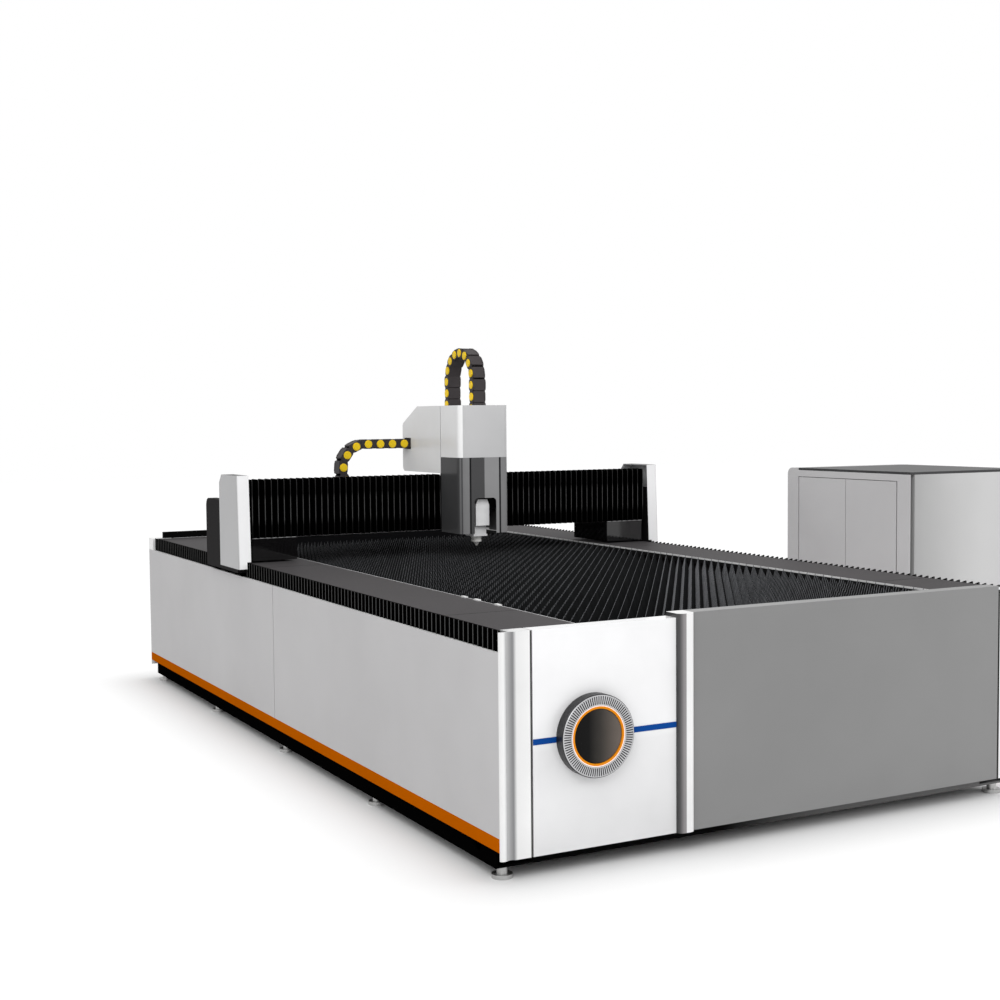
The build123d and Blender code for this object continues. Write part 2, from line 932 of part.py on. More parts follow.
# Guide blocks on the Y rails
def y_guide_blocks():
    blocks = []
    low = guide_x - block_width / 2
    rail_low = guide_x - guide_width / 2 - fit
    for y in block_places():
        shoe = block(low, low + block_width, y, y + block_length, beam_top + block_lift, block_top)
        shoe -= block(
            rail_low, rail_low + guide_width + 2 * fit, y - overrun, y + block_length + overrun,
            beam_top, beam_top + guide_height + fit,
        )
        blocks += both_sides(shoe)
    return blocks


# Dark blocks under the beam ends, over the rail covers
def gantry_foot_blocks():
    y0 = gantry_front + foot_block_front
    low = rail_top + foot_block_lift
    x0 = plate_inner + foot_block_inset
    foot = block(x0, x0 + foot_block_width, y0, y0 + foot_block_length, low, gantry_beam_bottom)
    return both_sides(foot)


# Sheet covers that lean back over the front of the end plates, open towards the beam and below
def gantry_covers():
    left = -cover_overhang
    rear = gantry_front + end_cover_length
    points = [
        (gantry_front, end_cover_bottom), (gantry_front + end_cover_slant, end_cover_top),
        (rear - end_cover_chamfer, end_cover_top), (rear, end_cover_top - end_cover_chamfer),
        (rear, end_cover_bottom),
    ]
    cover = prism_x(points, left, cover_inner_x)
    side_edges = cover.edges().group_by(Axis.X)[0].sort_by(Axis.Y)
    cover = fillet([side_edges[0], side_edges[-1]], end_cover_round)
    inner = [
        (gantry_front + sheet, end_cover_bottom - overrun),
        (gantry_front + end_cover_slant + sheet, end_cover_top - sheet),
        (rear - end_cover_chamfer - sheet, end_cover_top - sheet),
        (rear - sheet, end_cover_top - end_cover_chamfer - sheet), (rear - sheet, end_cover_bottom - overrun),
    ]
    cover -= prism_x(inner, left + sheet, cover_inner_x + overrun)
    cover -= block(
        left + sheet, cover_inner_x + overrun, plate_front, rear + overrun,
        end_cover_bottom - overrun, end_plate_top + end_cover_lift,
    )
    cover -= block(
        rail_bellows_outer - rail_bellows_gap, cover_inner_x + overrun, gantry_front - overrun, rear,
        end_cover_bottom - overrun, rail_top + rail_bellows_top + end_cover_lift,
    )
    return both_sides(cover)


# Servo motors hung under the arms
def y_drive_motors():
    bottom = arm_z - motor_length
    shaft_end = rack_top - rack_height
    motor = rod("z", (pinion_x, pinion_y, bottom), motor_radius, motor_length)
    motor += block(
        pinion_x - motor_radius, pinion_x + motor_radius, pinion_y - motor_radius, pinion_y + motor_radius,
        arm_z - motor_flange, arm_z,
    )
    motor += rod("z", (pinion_x, pinion_y, shaft_end), shaft_radius, bottom - shaft_end)
    return both_sides(motor)


# Pinion on the left motor, with a tooth towards the rack
def y_pinion_left():
    gear = prism_z(pinion_outline(gear_module, pinion_teeth, 0), rack_top - rack_height, rack_top)
    gear -= rod("z", (0, 0, rack_top - rack_height - overrun), shaft_radius + fit, rack_height + 2 * overrun)
    return [Pos(pinion_x, pinion_y, 0) * gear]


# Its mirror image on the right
def y_pinion_right():
    return [both_sides(y_pinion_left()[0])[1]]


# Profiled rails on the front of the beam
def x_guide_rails():
    rails = []
    for centre in x_guide_heights():
        rails.append(block(
            beam_end_x, bed_width - beam_end_x, beam_front - x_guide_height, beam_front,
            centre - x_guide_width / 2, centre + x_guide_width / 2,
        ))
    return rails


# Heights of the two X rails
def x_guide_heights():
    return [gantry_beam_bottom + x_guide_inset, gantry_beam_top - x_guide_inset]


# Rack between the X rails, teeth up
def x_rack():
    teeth = rack_teeth(beam_end_x, bed_width - beam_end_x, x_pinion_x, x_gear_module)
    foot = gantry_beam_bottom + x_rack_rise
    points = [(teeth[0][0], foot)]
    points += [(along, x_rack_pitch_z + height) for along, height in teeth]
    points += [(teeth[-1][0], foot)]
    return [prism_y(points, beam_front - x_rack_thickness, beam_front)]


# Tray behind the beam for the lower run of the chain
def chain_tray():
    floor = x_chain_bottom - fit
    low = floor - sheet
    y1 = x_chain_y + x_chain_width + chain_play + sheet
    tray = block(tray_left, tray_right, beam_rear, y1, low, low + tray_lip)
    tray -= block(
        tray_left - overrun, tray_right + overrun, beam_rear + sheet, y1 - sheet,
        floor, low + tray_lip + overrun,
    )
    return [tray]


# One run of pleats over the front and top of the beam
def beam_bellows_run(x0, x1):
    rear = carriage_plate_front + beam_bellows_return
    rings = []
    for index, x in enumerate(pleat_stations(x0, x1, beam_pleat)):
        inset = 0 if index % 2 else beam_bellows_depth - bellows_wall
        y = carriage_plate_front + inset
        high = beam_bellows_high - inset
        low = gantry_beam_bottom + fit
        rings.append([
            (x, y, low), (x, y, high), (x, rear, high), (x, rear, high - bellows_wall),
            (x, y + bellows_wall, high - bellows_wall), (x, y + bellows_wall, low),
        ])
    return pleated(rings)


# Bellows either side of the carriage
def beam_bellows():
    left = beam_bellows_run(cover_inner_x + end_cover_clear, plate_left)
    right = beam_bellows_run(bed_width - cover_inner_x - end_cover_clear, plate_right)
    return [left, right]


# Carriage plate on the X guide blocks, with the shelf over the beam
def carriage_plate():
    plate = block(
        plate_left, plate_right, carriage_plate_front, carriage_plate_rear,
        gantry_beam_bottom + carriage_plate_lift, carriage_plate_top,
    )
    plate += block(
        carriage_left + shell_wall, carriage_right - shell_wall, carriage_plate_front - shelf_front,
        housing_rear - shelf_rear_gap, carriage_plate_top, shelf_top,
    )
    plate += block(
        carriage_left + x_chain_lap, carriage_left + x_chain_hold, x_chain_y, x_chain_y + x_chain_width,
        shelf_top, x_chain_upper - x_chain_thickness / 2 - fit,
    )
    plate -= rod(
        "y", (x_pinion_x, carriage_plate_front - overrun, x_pinion_z),
        shaft_radius + shaft_hole_play, carriage_plate_thickness + 2 * overrun,
    )
    plate -= rod(
        "z", (carriage_x, screw_y, carriage_plate_top - overrun),
        screw_radius + fit, shelf_thickness + 2 * overrun,
    )
    return [plate]


# Guide blocks on the X rails
def x_guide_blocks():
    blocks = []
    for centre in x_guide_heights():
        for x in (plate_left, plate_right - x_block_length):
            shoe = block(
                x, x + x_block_length, carriage_plate_rear, carriage_plate_rear + x_block_height,
                centre - x_block_width / 2, centre + x_block_width / 2,
            )
            half = x_guide_width / 2 + fit
            shoe -= block(
                x - overrun, x + x_block_length + overrun, beam_front - x_guide_height - fit,
                beam_front, centre - half, centre + half,
            )
            blocks.append(shoe)
    return blocks


# Box that is rounded at its two front upright edges
def rounded_front_box(x0, x1, y0, y1, z0, z1, radius):
    return fillet(upright_edges(block(x0, x1, y0, y1, z0, z1))[:2], radius)


# Thin front shell: rounded in front, open behind
def front_shell(z0, z1, inner_low, inner_high):
    outer = rounded_front_box(
        carriage_left, carriage_right, shroud_front, carriage_plate_front, z0, z1, shell_round,
    )
    inner = rounded_front_box(
        carriage_left + shell_wall, carriage_right - shell_wall, shroud_front + shell_wall,
        carriage_plate_front + overrun, inner_low, inner_high, shell_round - shell_wall,
    )
    return outer - inner


# Hole for a leg of the vertical chain
def chain_leg_hole(y):
    half = z_chain_thickness / 2 + chain_play
    return block(
        z_chain_left - chain_play - cap_proud, z_chain_left + z_chain_width + chain_play, y - half, y + half,
        housing_top - shell_wall - overrun, housing_top + overrun,
    )


# White shell above the shroud
def carriage_front_housing():
    shell = front_shell(shroud_top, housing_top, shroud_top - overrun, housing_top - shell_wall)
    return [shell - chain_leg_hole(z_chain_y)]


# White shell over the beam, with a sloping rear edge and round corners
def carriage_rear_housing():
    y0 = carriage_plate_front + housing_seam
    slope_y = housing_rear - rear_chamfer_length
    slope_z = housing_top - rear_chamfer_height
    outer = [
        (y0, rear_housing_bottom), (y0, housing_top), (slope_y, housing_top),
        (housing_rear, slope_z), (housing_rear, rear_housing_bottom),
    ]
    inner = [
        (y0 - overrun, rear_housing_bottom - overrun), (y0 - overrun, housing_top - shell_wall),
        (slope_y - shell_wall / 2, housing_top - shell_wall),
        (housing_rear - shell_wall, slope_z - shell_wall / 2),
        (housing_rear - shell_wall, rear_housing_bottom - overrun),
    ]
    shell = prism_x(outer, carriage_left, carriage_right)
    rear_edges = shell.edges().filter_by(Axis.X).sort_by(Axis.Y)[2:]
    shell = fillet(rear_edges, rear_housing_round)
    shell -= prism_x(inner, carriage_left + shell_wall, carriage_right - shell_wall)
    shell -= chain_leg_hole(z_chain_y + z_chain_span)
    half = x_chain_thickness / 2 + chain_play
    shell -= block(
        carriage_left - overrun, carriage_left + shell_wall + overrun,
        x_chain_y - chain_play - cap_proud, x_chain_y + x_chain_width + chain_play,
        x_chain_upper - half, x_chain_upper + half,
    )
    return [shell]


# Dark shroud round the cutting head, with a window that is open below
def head_shroud():
    shell = front_shell(shroud_bottom, shroud_top, shroud_bottom - overrun, shroud_top + overrun)
    half = shroud_window_width / 2
    window = block(
        carriage_x - half, carriage_x + half, shroud_front - overrun, shroud_front + shell_wall + overrun,
        shroud_bottom - shroud_window_height, shroud_bottom + shroud_window_height,
    )
    window = fillet(window.edges().filter_by(Axis.Y), shroud_window_round)
    shell -= window
    for x in (carriage_left + shroud_left_strip, carriage_right - shroud_right_strip):
        shell -= block(
            x, x + shroud_seam, shroud_front - overrun, shroud_front + shroud_seam / 2,
            shroud_bottom - overrun, shroud_top + overrun,
        )
    return [shell]


# Motor on the front of the carriage plate that turns the X pinion
def x_drive_motor():
    half = x_motor_side / 2
    motor = block(
        x_pinion_x - half, x_pinion_x + half, carriage_plate_front - x_motor_length, carriage_plate_front,
        x_pinion_z - half, x_pinion_z + half,
    )
    length = beam_front - fit - carriage_plate_front
    motor += rod("y", (x_pinion_x, carriage_plate_front, x_pinion_z), shaft_radius, length)
    return [motor]


# Pinion on the X rack, with a tooth towards the rack
def x_pinion():
    y0 = beam_front - fit - x_pinion_width
    gear = prism_y(pinion_outline(x_gear_module, x_pinion_teeth, -90), y0, y0 + x_pinion_width)
    gear -= rod("y", (0, y0 - overrun, 0), shaft_radius + fit, x_pinion_width + 2 * overrun)
    return [Pos(x_pinion_x, 0, x_pinion_z) * gear]


# Motor on the shelf that turns the ball screw
def z_axis_motor():
    half = z_motor_side / 2
    motor = block(
        carriage_x - half, carriage_x + half, screw_y - half, screw_y + half,
        shelf_top, shelf_top + z_motor_length,
    )
    bore = screw_radius + fit
    motor -= rod("z", (carriage_x, screw_y, shelf_top - overrun), bore, overrun + shelf_thickness)
    return [motor]


# Ball screw from the motor down to the head slide
def ball_screw():
    low = z_guide_bottom + screw_end_gap
    high = shelf_top + shelf_thickness - fit
    return [rod("z", (carriage_x, screw_y, low), screw_radius, high - low)]


# Vertical rails on the carriage plate
def z_guide_rails():
    rails = []
    for side in (-1, 1):
        x = carriage_x + side * z_guide_spread / 2
        rails.append(block(
            x - z_guide_width / 2, x + z_guide_width / 2,
            carriage_plate_front - z_guide_depth, carriage_plate_front, z_guide_bottom, z_guide_top,
        ))
    return rails


# Head slide: plate with guide shoes, the screw's nut and the arm for the vertical chain
def head_slide():
    half = slide_width / 2
    slide = block(carriage_x - half, carriage_x + half, slide_front, slide_rear, slide_bottom, slide_top)
    shoe_rear = carriage_plate_front - z_guide_depth + slide_block_lap
    for side in (-1, 1):
        x = carriage_x + side * z_guide_spread / 2
        for z in (slide_bottom, slide_top - slide_block_length):
            shoe = block(
                x - slide_block_width / 2, x + slide_block_width / 2, slide_rear, shoe_rear,
                z, z + slide_block_length,
            )
            groove = z_guide_width / 2 + fit
            shoe -= block(
                x - groove, x + groove, carriage_plate_front - z_guide_depth - fit, carriage_plate_front,
                z - overrun, z + slide_block_length + overrun,
            )
            slide += shoe
    nut_z = (slide_bottom + slide_top - nut_height) / 2
    slide += block(
        carriage_x - nut_width / 2, carriage_x + nut_width / 2, slide_rear, screw_y + nut_width / 2,
        nut_z, nut_z + nut_height,
    )
    slide -= rod("z", (carriage_x, screw_y, nut_z - overrun), screw_radius + fit, nut_height + 2 * overrun)
    arm_front = z_chain_y + z_chain_thickness / 2 + fit
    arm_half = chain_arm_width / 2
    slide += block(
        carriage_x - arm_half, carriage_x + arm_half, arm_front, slide_front,
        slide_top - chain_arm_thickness, slide_top,
    )
    slide += block(
        carriage_x - arm_half, carriage_x + arm_half, arm_front, arm_front + chain_arm_thickness,
        slide_top - chain_arm_thickness, chain_arm_top,
    )
    return [slide]


# Cutting head body with chamfered shoulders and a narrower neck
def cutting_head():
    left = carriage_x - head_width / 2
    right = carriage_x + head_width / 2
    shoulder = head_top - head_chamfer_height
    points = [
        (left, head_bottom), (left, shoulder), (left + head_chamfer_width, head_top),
        (right - head_chamfer_width, head_top), (right, shoulder), (right, head_bottom),
    ]
    body = prism_y(points, head_front_y, slide_front)
    neck = head_neck_width / 2
    body += block(
        carriage_x - neck, carriage_x + neck, nozzle_axis_y - head_neck_depth / 2,
        nozzle_axis_y + head_neck_depth / 2, head_neck_bottom, head_bottom,
    )
    flange = head_flange_width / 2
    body += block(
        carriage_x - flange, carriage_x + flange, nozzle_axis_y - head_neck_depth / 2,
        nozzle_axis_y + head_neck_depth / 2, head_neck_bottom, head_neck_bottom + head_flange_height,
    )
    return [body]


# Stacked nozzle, turned
def nozzle():
    points = [
        (nozzle_bore_radius, nozzle_tip), (nozzle_tip_radius, nozzle_tip),
        (nozzle_cone_radius, nozzle_ring_bottom),
    ]
    for index in range(nozzle_rings):
        low = nozzle_ring_bottom + nozzle_ring_pitch * index
        high = low + nozzle_ring_height
        points += [(nozzle_ring_radius, low), (nozzle_ring_radius, high)]
        points += [(nozzle_waist_radius, high), (nozzle_waist_radius, low + nozzle_ring_pitch)]
    points.append((nozzle_bore_radius, head_neck_bottom))
    profile = Plane.XZ * make_face(Polyline(*points, close=True))
    return [Pos(carriage_x, nozzle_axis_y, 0) * revolve(profile, Axis.Z)]


# Point and direction at a distance along two legs joined by a half turn
def loop_point(distance, leg, radius):
    bend = math.pi * radius
    if distance <= leg:
        return (0, distance - leg), math.pi / 2
    if distance <= leg + bend:
        turn = (distance - leg) / radius
        return (radius - radius * math.cos(turn), radius * math.sin(turn)), math.pi / 2 - turn
    return (2 * radius, leg + bend - distance), -math.pi / 2


# Chain links along such a loop, each a prism with a round cap on its near side
def chain_links(leg, other_leg, radius, thickness, width, count):
    length = leg + math.pi * radius + other_leg
    pitch = length / count
    links = []
    for index in range(count):
        ends = [pitch * index + link_gap / 2, pitch * (index + 1) - link_gap / 2]
        corners = []
        for distance in ends:
            (u, v), heading = loop_point(distance, leg, radius)
            side = (-math.sin(heading) * thickness / 2, math.cos(heading) * thickness / 2)
            corners.append([(u + side[0], v + side[1]), (u - side[0], v - side[1])])
        outline = [corners[0][0], corners[1][0], corners[1][1], corners[0][1]]
        link = extrude(make_face(Polyline(*outline, close=True)), amount=width)
        (u, v), heading = loop_point(pitch * (index + 1 / 2), leg, radius)
        link += Pos(u, v, 0) * Cylinder(
            thickness * cap_radius_share, cap_proud, align=(Align.CENTER, Align.CENTER, Align.MAX),
        )
        links.append(link)
    return links


# Vertical chain in an arch over the housings, from the head slide's arm to the shelf
def z_cable_chain():
    radius = z_chain_span / 2
    bend_z = housing_top + z_chain_straight
    front_leg = bend_z - chain_arm_top + chain_arm_width
    rear_leg = bend_z - shelf_top - fit
    links = chain_links(front_leg, rear_leg, radius, z_chain_thickness, z_chain_width, z_chain_links)
    place = Plane(origin=(z_chain_left, z_chain_y, bend_z), x_dir=(0, 1, 0), z_dir=(1, 0, 0))
    return [place * link for link in links]


# Chain behind the beam, from the carriage shelf round to the tray
def x_cable_chain():
    radius = x_chain_drop / 2
    upper_leg = carriage_left + x_chain_hold - x_chain_bend
    lower_leg = x_chain_end - x_chain_bend
    links = chain_links(upper_leg, lower_leg, radius, x_chain_thickness, x_chain_width, x_chain_links)
    place = Plane(origin=(x_chain_bend, x_chain_y, x_chain_upper), x_dir=(0, 0, -1), z_dir=(0, 1, 0))
    return [place * link for link in links]


# Cabinet frame: plinth, posts, header and sill rails, round at the top of the rear
def cabinet_frame():
    frame = block(cabinet_x, cabinet_far, cabinet_front, cabinet_rear, 0, cabinet_plinth)
    inner_x = cabinet_x + cabinet_post_depth
    frame -= block(
        inner_x, cabinet_far - cabinet_post_depth, cabinet_front + cabinet_post_depth,
        cabinet_rear - cabinet_post_depth, -overrun, cabinet_plinth - cabinet_sheet,
    )
    top = cabinet_height - roof_height
    for x0, x1 in ((cabinet_x, inner_x), (cabinet_far - cabinet_post_depth, cabinet_far)):
        frame += block(x0, x1, cabinet_front, door_low_y, cabinet_plinth, top)
        frame += block(x0, x1, door_high_y, cabinet_rear, cabinet_plinth, top)
        frame += block(x0, x1, door_low_y, door_high_y, door_top, top)
        frame += block(x0, x1, door_low_y, door_high_y, cabinet_plinth, door_bottom)
    for y0 in (cabinet_front, cabinet_rear - cabinet_post_depth):
        y1 = y0 + cabinet_post_depth
        frame += block(inner_x, cabinet_far - cabinet_post_depth, y0, y1, top - cabinet_post_depth, top)
    frame += block(cabinet_x, cabinet_far, door_high_y, cabinet_rear, top, cabinet_height)
    corner = frame.edges().filter_by(Axis.X).sort_by(lambda edge: edge.center().Y + edge.center().Z)[-1]
    frame = fillet(corner, cabinet_round)
    groove_x = cabinet_x + cabinet_sheet
    for y0 in (cabinet_front, cabinet_rear - cabinet_groove_depth):
        y1 = y0 + cabinet_groove_depth
        frame -= block(groove_x, groove_x + cabinet_groove, y0, y1, cabinet_plinth, cabinet_height)
    return [frame]


# End panels and rear panel inside the posts
def cabinet_panels():
    inner_x = cabinet_x + cabinet_post_depth
    far_x = cabinet_far - cabinet_post_depth
    top = cabinet_height - roof_height - cabinet_post_depth
    panels = []
    for y0 in (cabinet_front, cabinet_rear - cabinet_sheet):
        panels.append(block(inner_x, far_x, y0, y0 + cabinet_sheet, cabinet_plinth, top))
    back_x = cabinet_far - cabinet_sheet
    panels.append(block(back_x, cabinet_far, door_low_y, door_high_y, door_bottom, door_top))
    return panels


# Dark roof plate, in front of the round rear edge
def cabinet_roof():
    return [block(
        cabinet_x + roof_inset, cabinet_far - roof_inset, cabinet_front + roof_inset, door_high_y - fit,
        cabinet_height - roof_height, cabinet_height,
    )]


# Folded door with a bore for its pins, between the hinge side and the middle seam
def cabinet_door(hinge_y, edge_y, free_y):
    low, high = sorted((edge_y, free_y))
    z0 = door_bottom + door_gap
    z1 = door_top - door_gap
    door = block(cabinet_x, cabinet_x + door_thickness, low, high, z0, z1)
    door -= block(
        cabinet_x + cabinet_sheet, cabinet_x + door_thickness + overrun,
        low + cabinet_sheet, high - cabinet_sheet, z0 + cabinet_sheet, z1 - cabinet_sheet,
    )
    bore = pin_radius + pin_bore_play
    return [door - rod("z", (hinge_x, hinge_y, z0 - overrun), bore, z1 - z0 + 2 * overrun)]


# Door nearer the front of the bed
def cabinet_door_front():
    return cabinet_door(hinge_low_y, door_low_y + door_hinge_gap, door_middle - door_gap / 2)


# Door nearer the rear of the bed
def cabinet_door_rear():
    return cabinet_door(hinge_high_y, door_high_y - door_hinge_gap, door_middle + door_gap / 2)


# Pivot pins for the doors, in the sill and the header
def hinge_pins():
    pins = []
    for y in (hinge_low_y, hinge_high_y):
        pins.append(rod("z", (hinge_x, y, door_bottom), pin_radius, pin_length))
        pins.append(rod("z", (hinge_x, y, door_top - pin_length), pin_radius, pin_length))
    return pins


# Laser source on the cabinet floor
def laser_source():
    x0 = (cabinet_x + cabinet_far - laser_depth) / 2
    y0 = (cabinet_front + cabinet_rear - laser_length) / 2
    return [block(x0, x0 + laser_depth, y0, y0 + laser_length, cabinet_plinth, cabinet_plinth + laser_height)]


# Every node and what makes it
nodes = {
    "base_frame": base_frame,
    "levelling_feet": levelling_feet,
    "bed_frame": bed_frame,
    "rail_inner_walls": rail_inner_walls,
    "side_panels": side_panels,
    "base_trims": base_trims,
    "corner_columns": corner_columns,
    "divider_column": divider_column,
    "feature_panel": feature_panel,
    "front_panel": front_panel,
    "rear_panel": rear_panel,
    "lamp_housing": lamp_housing,
    "lamp_light_ring": lamp_light_ring,
    "lamp_lens": lamp_lens,
    "accent_strips": accent_strips,
    "rail_covers": rail_covers,
    "rail_edge_strips": rail_edge_strips,
    "y_guide_rails": y_guide_rails,
    "y_racks": y_racks,
    "slats_front": lambda: slats("front"),
    "slats_rear": lambda: slats("rear"),
    "slat_supports": slat_supports,
    "scrap_trays": scrap_trays,
    "rear_deck": rear_deck,
    "rail_bellows": rail_bellows,
    "cable_duct": cable_duct,
    "gantry_beam": gantry_beam,
    "gantry_end_plates": gantry_end_plates,
    "y_guide_blocks": y_guide_blocks,
    "gantry_foot_blocks": gantry_foot_blocks,
    "gantry_covers": gantry_covers,
    "y_drive_motors": y_drive_motors,
    "y_pinion_left": y_pinion_left,
    "y_pinion_right": y_pinion_right,
    "x_guide_rails": x_guide_rails,
    "x_rack": x_rack,
    "chain_tray": chain_tray,
    "beam_bellows": beam_bellows,
    "x_cable_chain": x_cable_chain,
    "carriage_plate": carriage_plate,
    "x_guide_blocks": x_guide_blocks,
    "carriage_front_housing": carriage_front_housing,
    "carriage_rear_housing": carriage_rear_housing,
    "head_shroud": head_shroud,
    "x_drive_motor": x_drive_motor,
    "x_pinion": x_pinion,
    "z_axis_motor": z_axis_motor,
    "ball_screw": ball_screw,
    "z_guide_rails": z_guide_rails,
    "z_cable_chain": z_cable_chain,
    "head_slide": head_slide,
    "cutting_head": cutting_head,
    "nozzle": nozzle,
    "cabinet_frame": cabinet_frame,
    "cabinet_panels": cabinet_panels,
    "cabinet_roof": cabinet_roof,
    "cabinet_door_front": cabinet_door_front,
    "cabinet_door_rear": cabinet_door_rear,
    "hinge_pins": hinge_pins,
    "laser_source": laser_source,
}

os.makedirs("parts", exist_ok=True)
for node, maker in nodes.items():
    write_part(node, maker())
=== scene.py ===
import math
import bpy
import numpy as np
from mathutils import Matrix, Vector


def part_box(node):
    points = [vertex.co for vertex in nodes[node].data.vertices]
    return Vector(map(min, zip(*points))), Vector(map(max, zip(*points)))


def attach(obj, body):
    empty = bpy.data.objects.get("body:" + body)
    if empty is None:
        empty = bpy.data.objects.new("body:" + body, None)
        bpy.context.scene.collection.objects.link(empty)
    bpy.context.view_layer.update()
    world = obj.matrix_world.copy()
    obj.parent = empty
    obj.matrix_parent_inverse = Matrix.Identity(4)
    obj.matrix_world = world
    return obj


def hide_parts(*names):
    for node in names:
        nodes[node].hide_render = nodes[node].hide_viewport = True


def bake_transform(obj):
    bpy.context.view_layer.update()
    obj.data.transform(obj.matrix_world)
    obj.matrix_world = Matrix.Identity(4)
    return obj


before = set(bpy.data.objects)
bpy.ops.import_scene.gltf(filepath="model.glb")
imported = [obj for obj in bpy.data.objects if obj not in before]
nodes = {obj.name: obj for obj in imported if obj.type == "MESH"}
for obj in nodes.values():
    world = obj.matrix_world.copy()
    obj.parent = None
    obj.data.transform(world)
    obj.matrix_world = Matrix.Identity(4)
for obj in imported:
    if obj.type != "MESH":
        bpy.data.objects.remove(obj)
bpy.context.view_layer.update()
scene = bpy.context.scene
mm = 0.001
print("frame loaded:", len(nodes), "nodes")


# Small tools
def linear(hexColour):  # sRGB hex to a linear colour
    parts = [int(hexColour[place:place + 2], 16) / 255 for place in (1, 3, 5)]
    levels = [part / 12.92 if part <= 0.04045 else ((part + 0.055) / 1.055) ** 2.4 for part in parts]
    return (*levels, 1)


def perMetre(sizeMm):  # texture scale whose pattern repeats about every sizeMm
    return 1 / (sizeMm * mm)


def addNode(tree, kind, settings=None, links=None):
    node = tree.nodes.new(kind)
    for key, value in (settings or {}).items():
        if key == "stops":  # a colour ramp, given as places and colours
            while len(node.color_ramp.elements) < len(value):
                node.color_ramp.elements.new(1.0)
            for stop, (place, colour) in zip(node.color_ramp.elements, value):
                stop.position = place
                stop.color = linear(colour)
        elif isinstance(key, int) or key in node.inputs:
            node.inputs[key].default_value = value
        else:
            setattr(node, key, value)
    for key, source in (links or {}).items():
        tree.links.new(source, node.inputs[key])
    return node


# What all finishes share: how broken up their drift and grain are, and what counts as a top
finishMake = {
    "driftDetail": 3.0, "driftFrom": 0.3, "driftTo": 0.7, "drift": "#f5f5f5", "grainDetail": 2.0,
    "bumpStrength": 0.4, "topFrom": 0.7,
}


# Colours by facing and along a run: on most finishes below they carry painted light, shade and reflection
# Colours by the way a face looks: front or back near 0, sides near 0.5, tops near 1
def facingStops(front, side, top):
    return [(0, front), (0.1, front), (0.4, side), (0.6, side), (0.75, top), (1, top)]


# Paint shades along a run of the piece: "about" mirrors the run there, "top" is what looks up
def shadeAlong(tree, place, run):
    spot = addNode(tree, "ShaderNodeSeparateXYZ", {}, {"Vector": place.outputs["Object"]})
    away = spot.outputs[run["axis"]]
    if "about" in run:
        offset = addNode(tree, "ShaderNodeMath", {"operation": "SUBTRACT", 1: run["about"]}, {0: away})
        away = addNode(tree, "ShaderNodeMath", {"operation": "ABSOLUTE"}, {0: offset.outputs[0]}).outputs[0]
    share = addNode(
        tree, "ShaderNodeMapRange", {"From Min": run["start"], "From Max": run["end"]}, {"Value": away})
    shade = addNode(tree, "ShaderNodeValToRGB", {"stops": run["stops"]}, {"Fac": share.outputs["Result"]})
    if "top" not in run:
        return shade.outputs["Color"]
    turn = addNode(tree, "ShaderNodeSeparateXYZ", {}, {"Vector": place.outputs["Normal"]})
    level = addNode(
        tree, "ShaderNodeMath", {"operation": "GREATER_THAN", 1: finishMake["topFrom"]}, {0: turn.outputs["Z"]})
    return addNode(
        tree, "ShaderNodeMix", {"data_type": "RGBA", 7: linear(run["top"])},
        {0: level.outputs[0], 6: shade.outputs["Color"]}).outputs[2]


# Paint shades by facing: half of how far a face looks to a side, plus how far it looks up
def shadeByFacing(tree, place, look):
    turn = addNode(tree, "ShaderNodeSeparateXYZ", {}, {"Vector": place.outputs["Normal"]})
    left = addNode(tree, "ShaderNodeMath", {"operation": "MULTIPLY", 1: -1.0}, {0: turn.outputs["X"]})
    sideways = addNode(
        tree, "ShaderNodeMath", {"operation": "MAXIMUM"},
        {0: left.outputs[0]} if look.get("leftOnly") else {0: left.outputs[0], 1: turn.outputs["X"]})
    upward = addNode(tree, "ShaderNodeMath", {"operation": "MAXIMUM", 1: 0.0}, {0: turn.outputs["Z"]})
    facing = addNode(
        tree, "ShaderNodeMath", {"operation": "MULTIPLY_ADD", 1: 0.5},
        {0: sideways.outputs[0], 2: upward.outputs[0]})
    return addNode(
        tree, "ShaderNodeValToRGB", {"stops": look["facing"]}, {"Fac": facing.outputs[0]}).outputs["Color"]


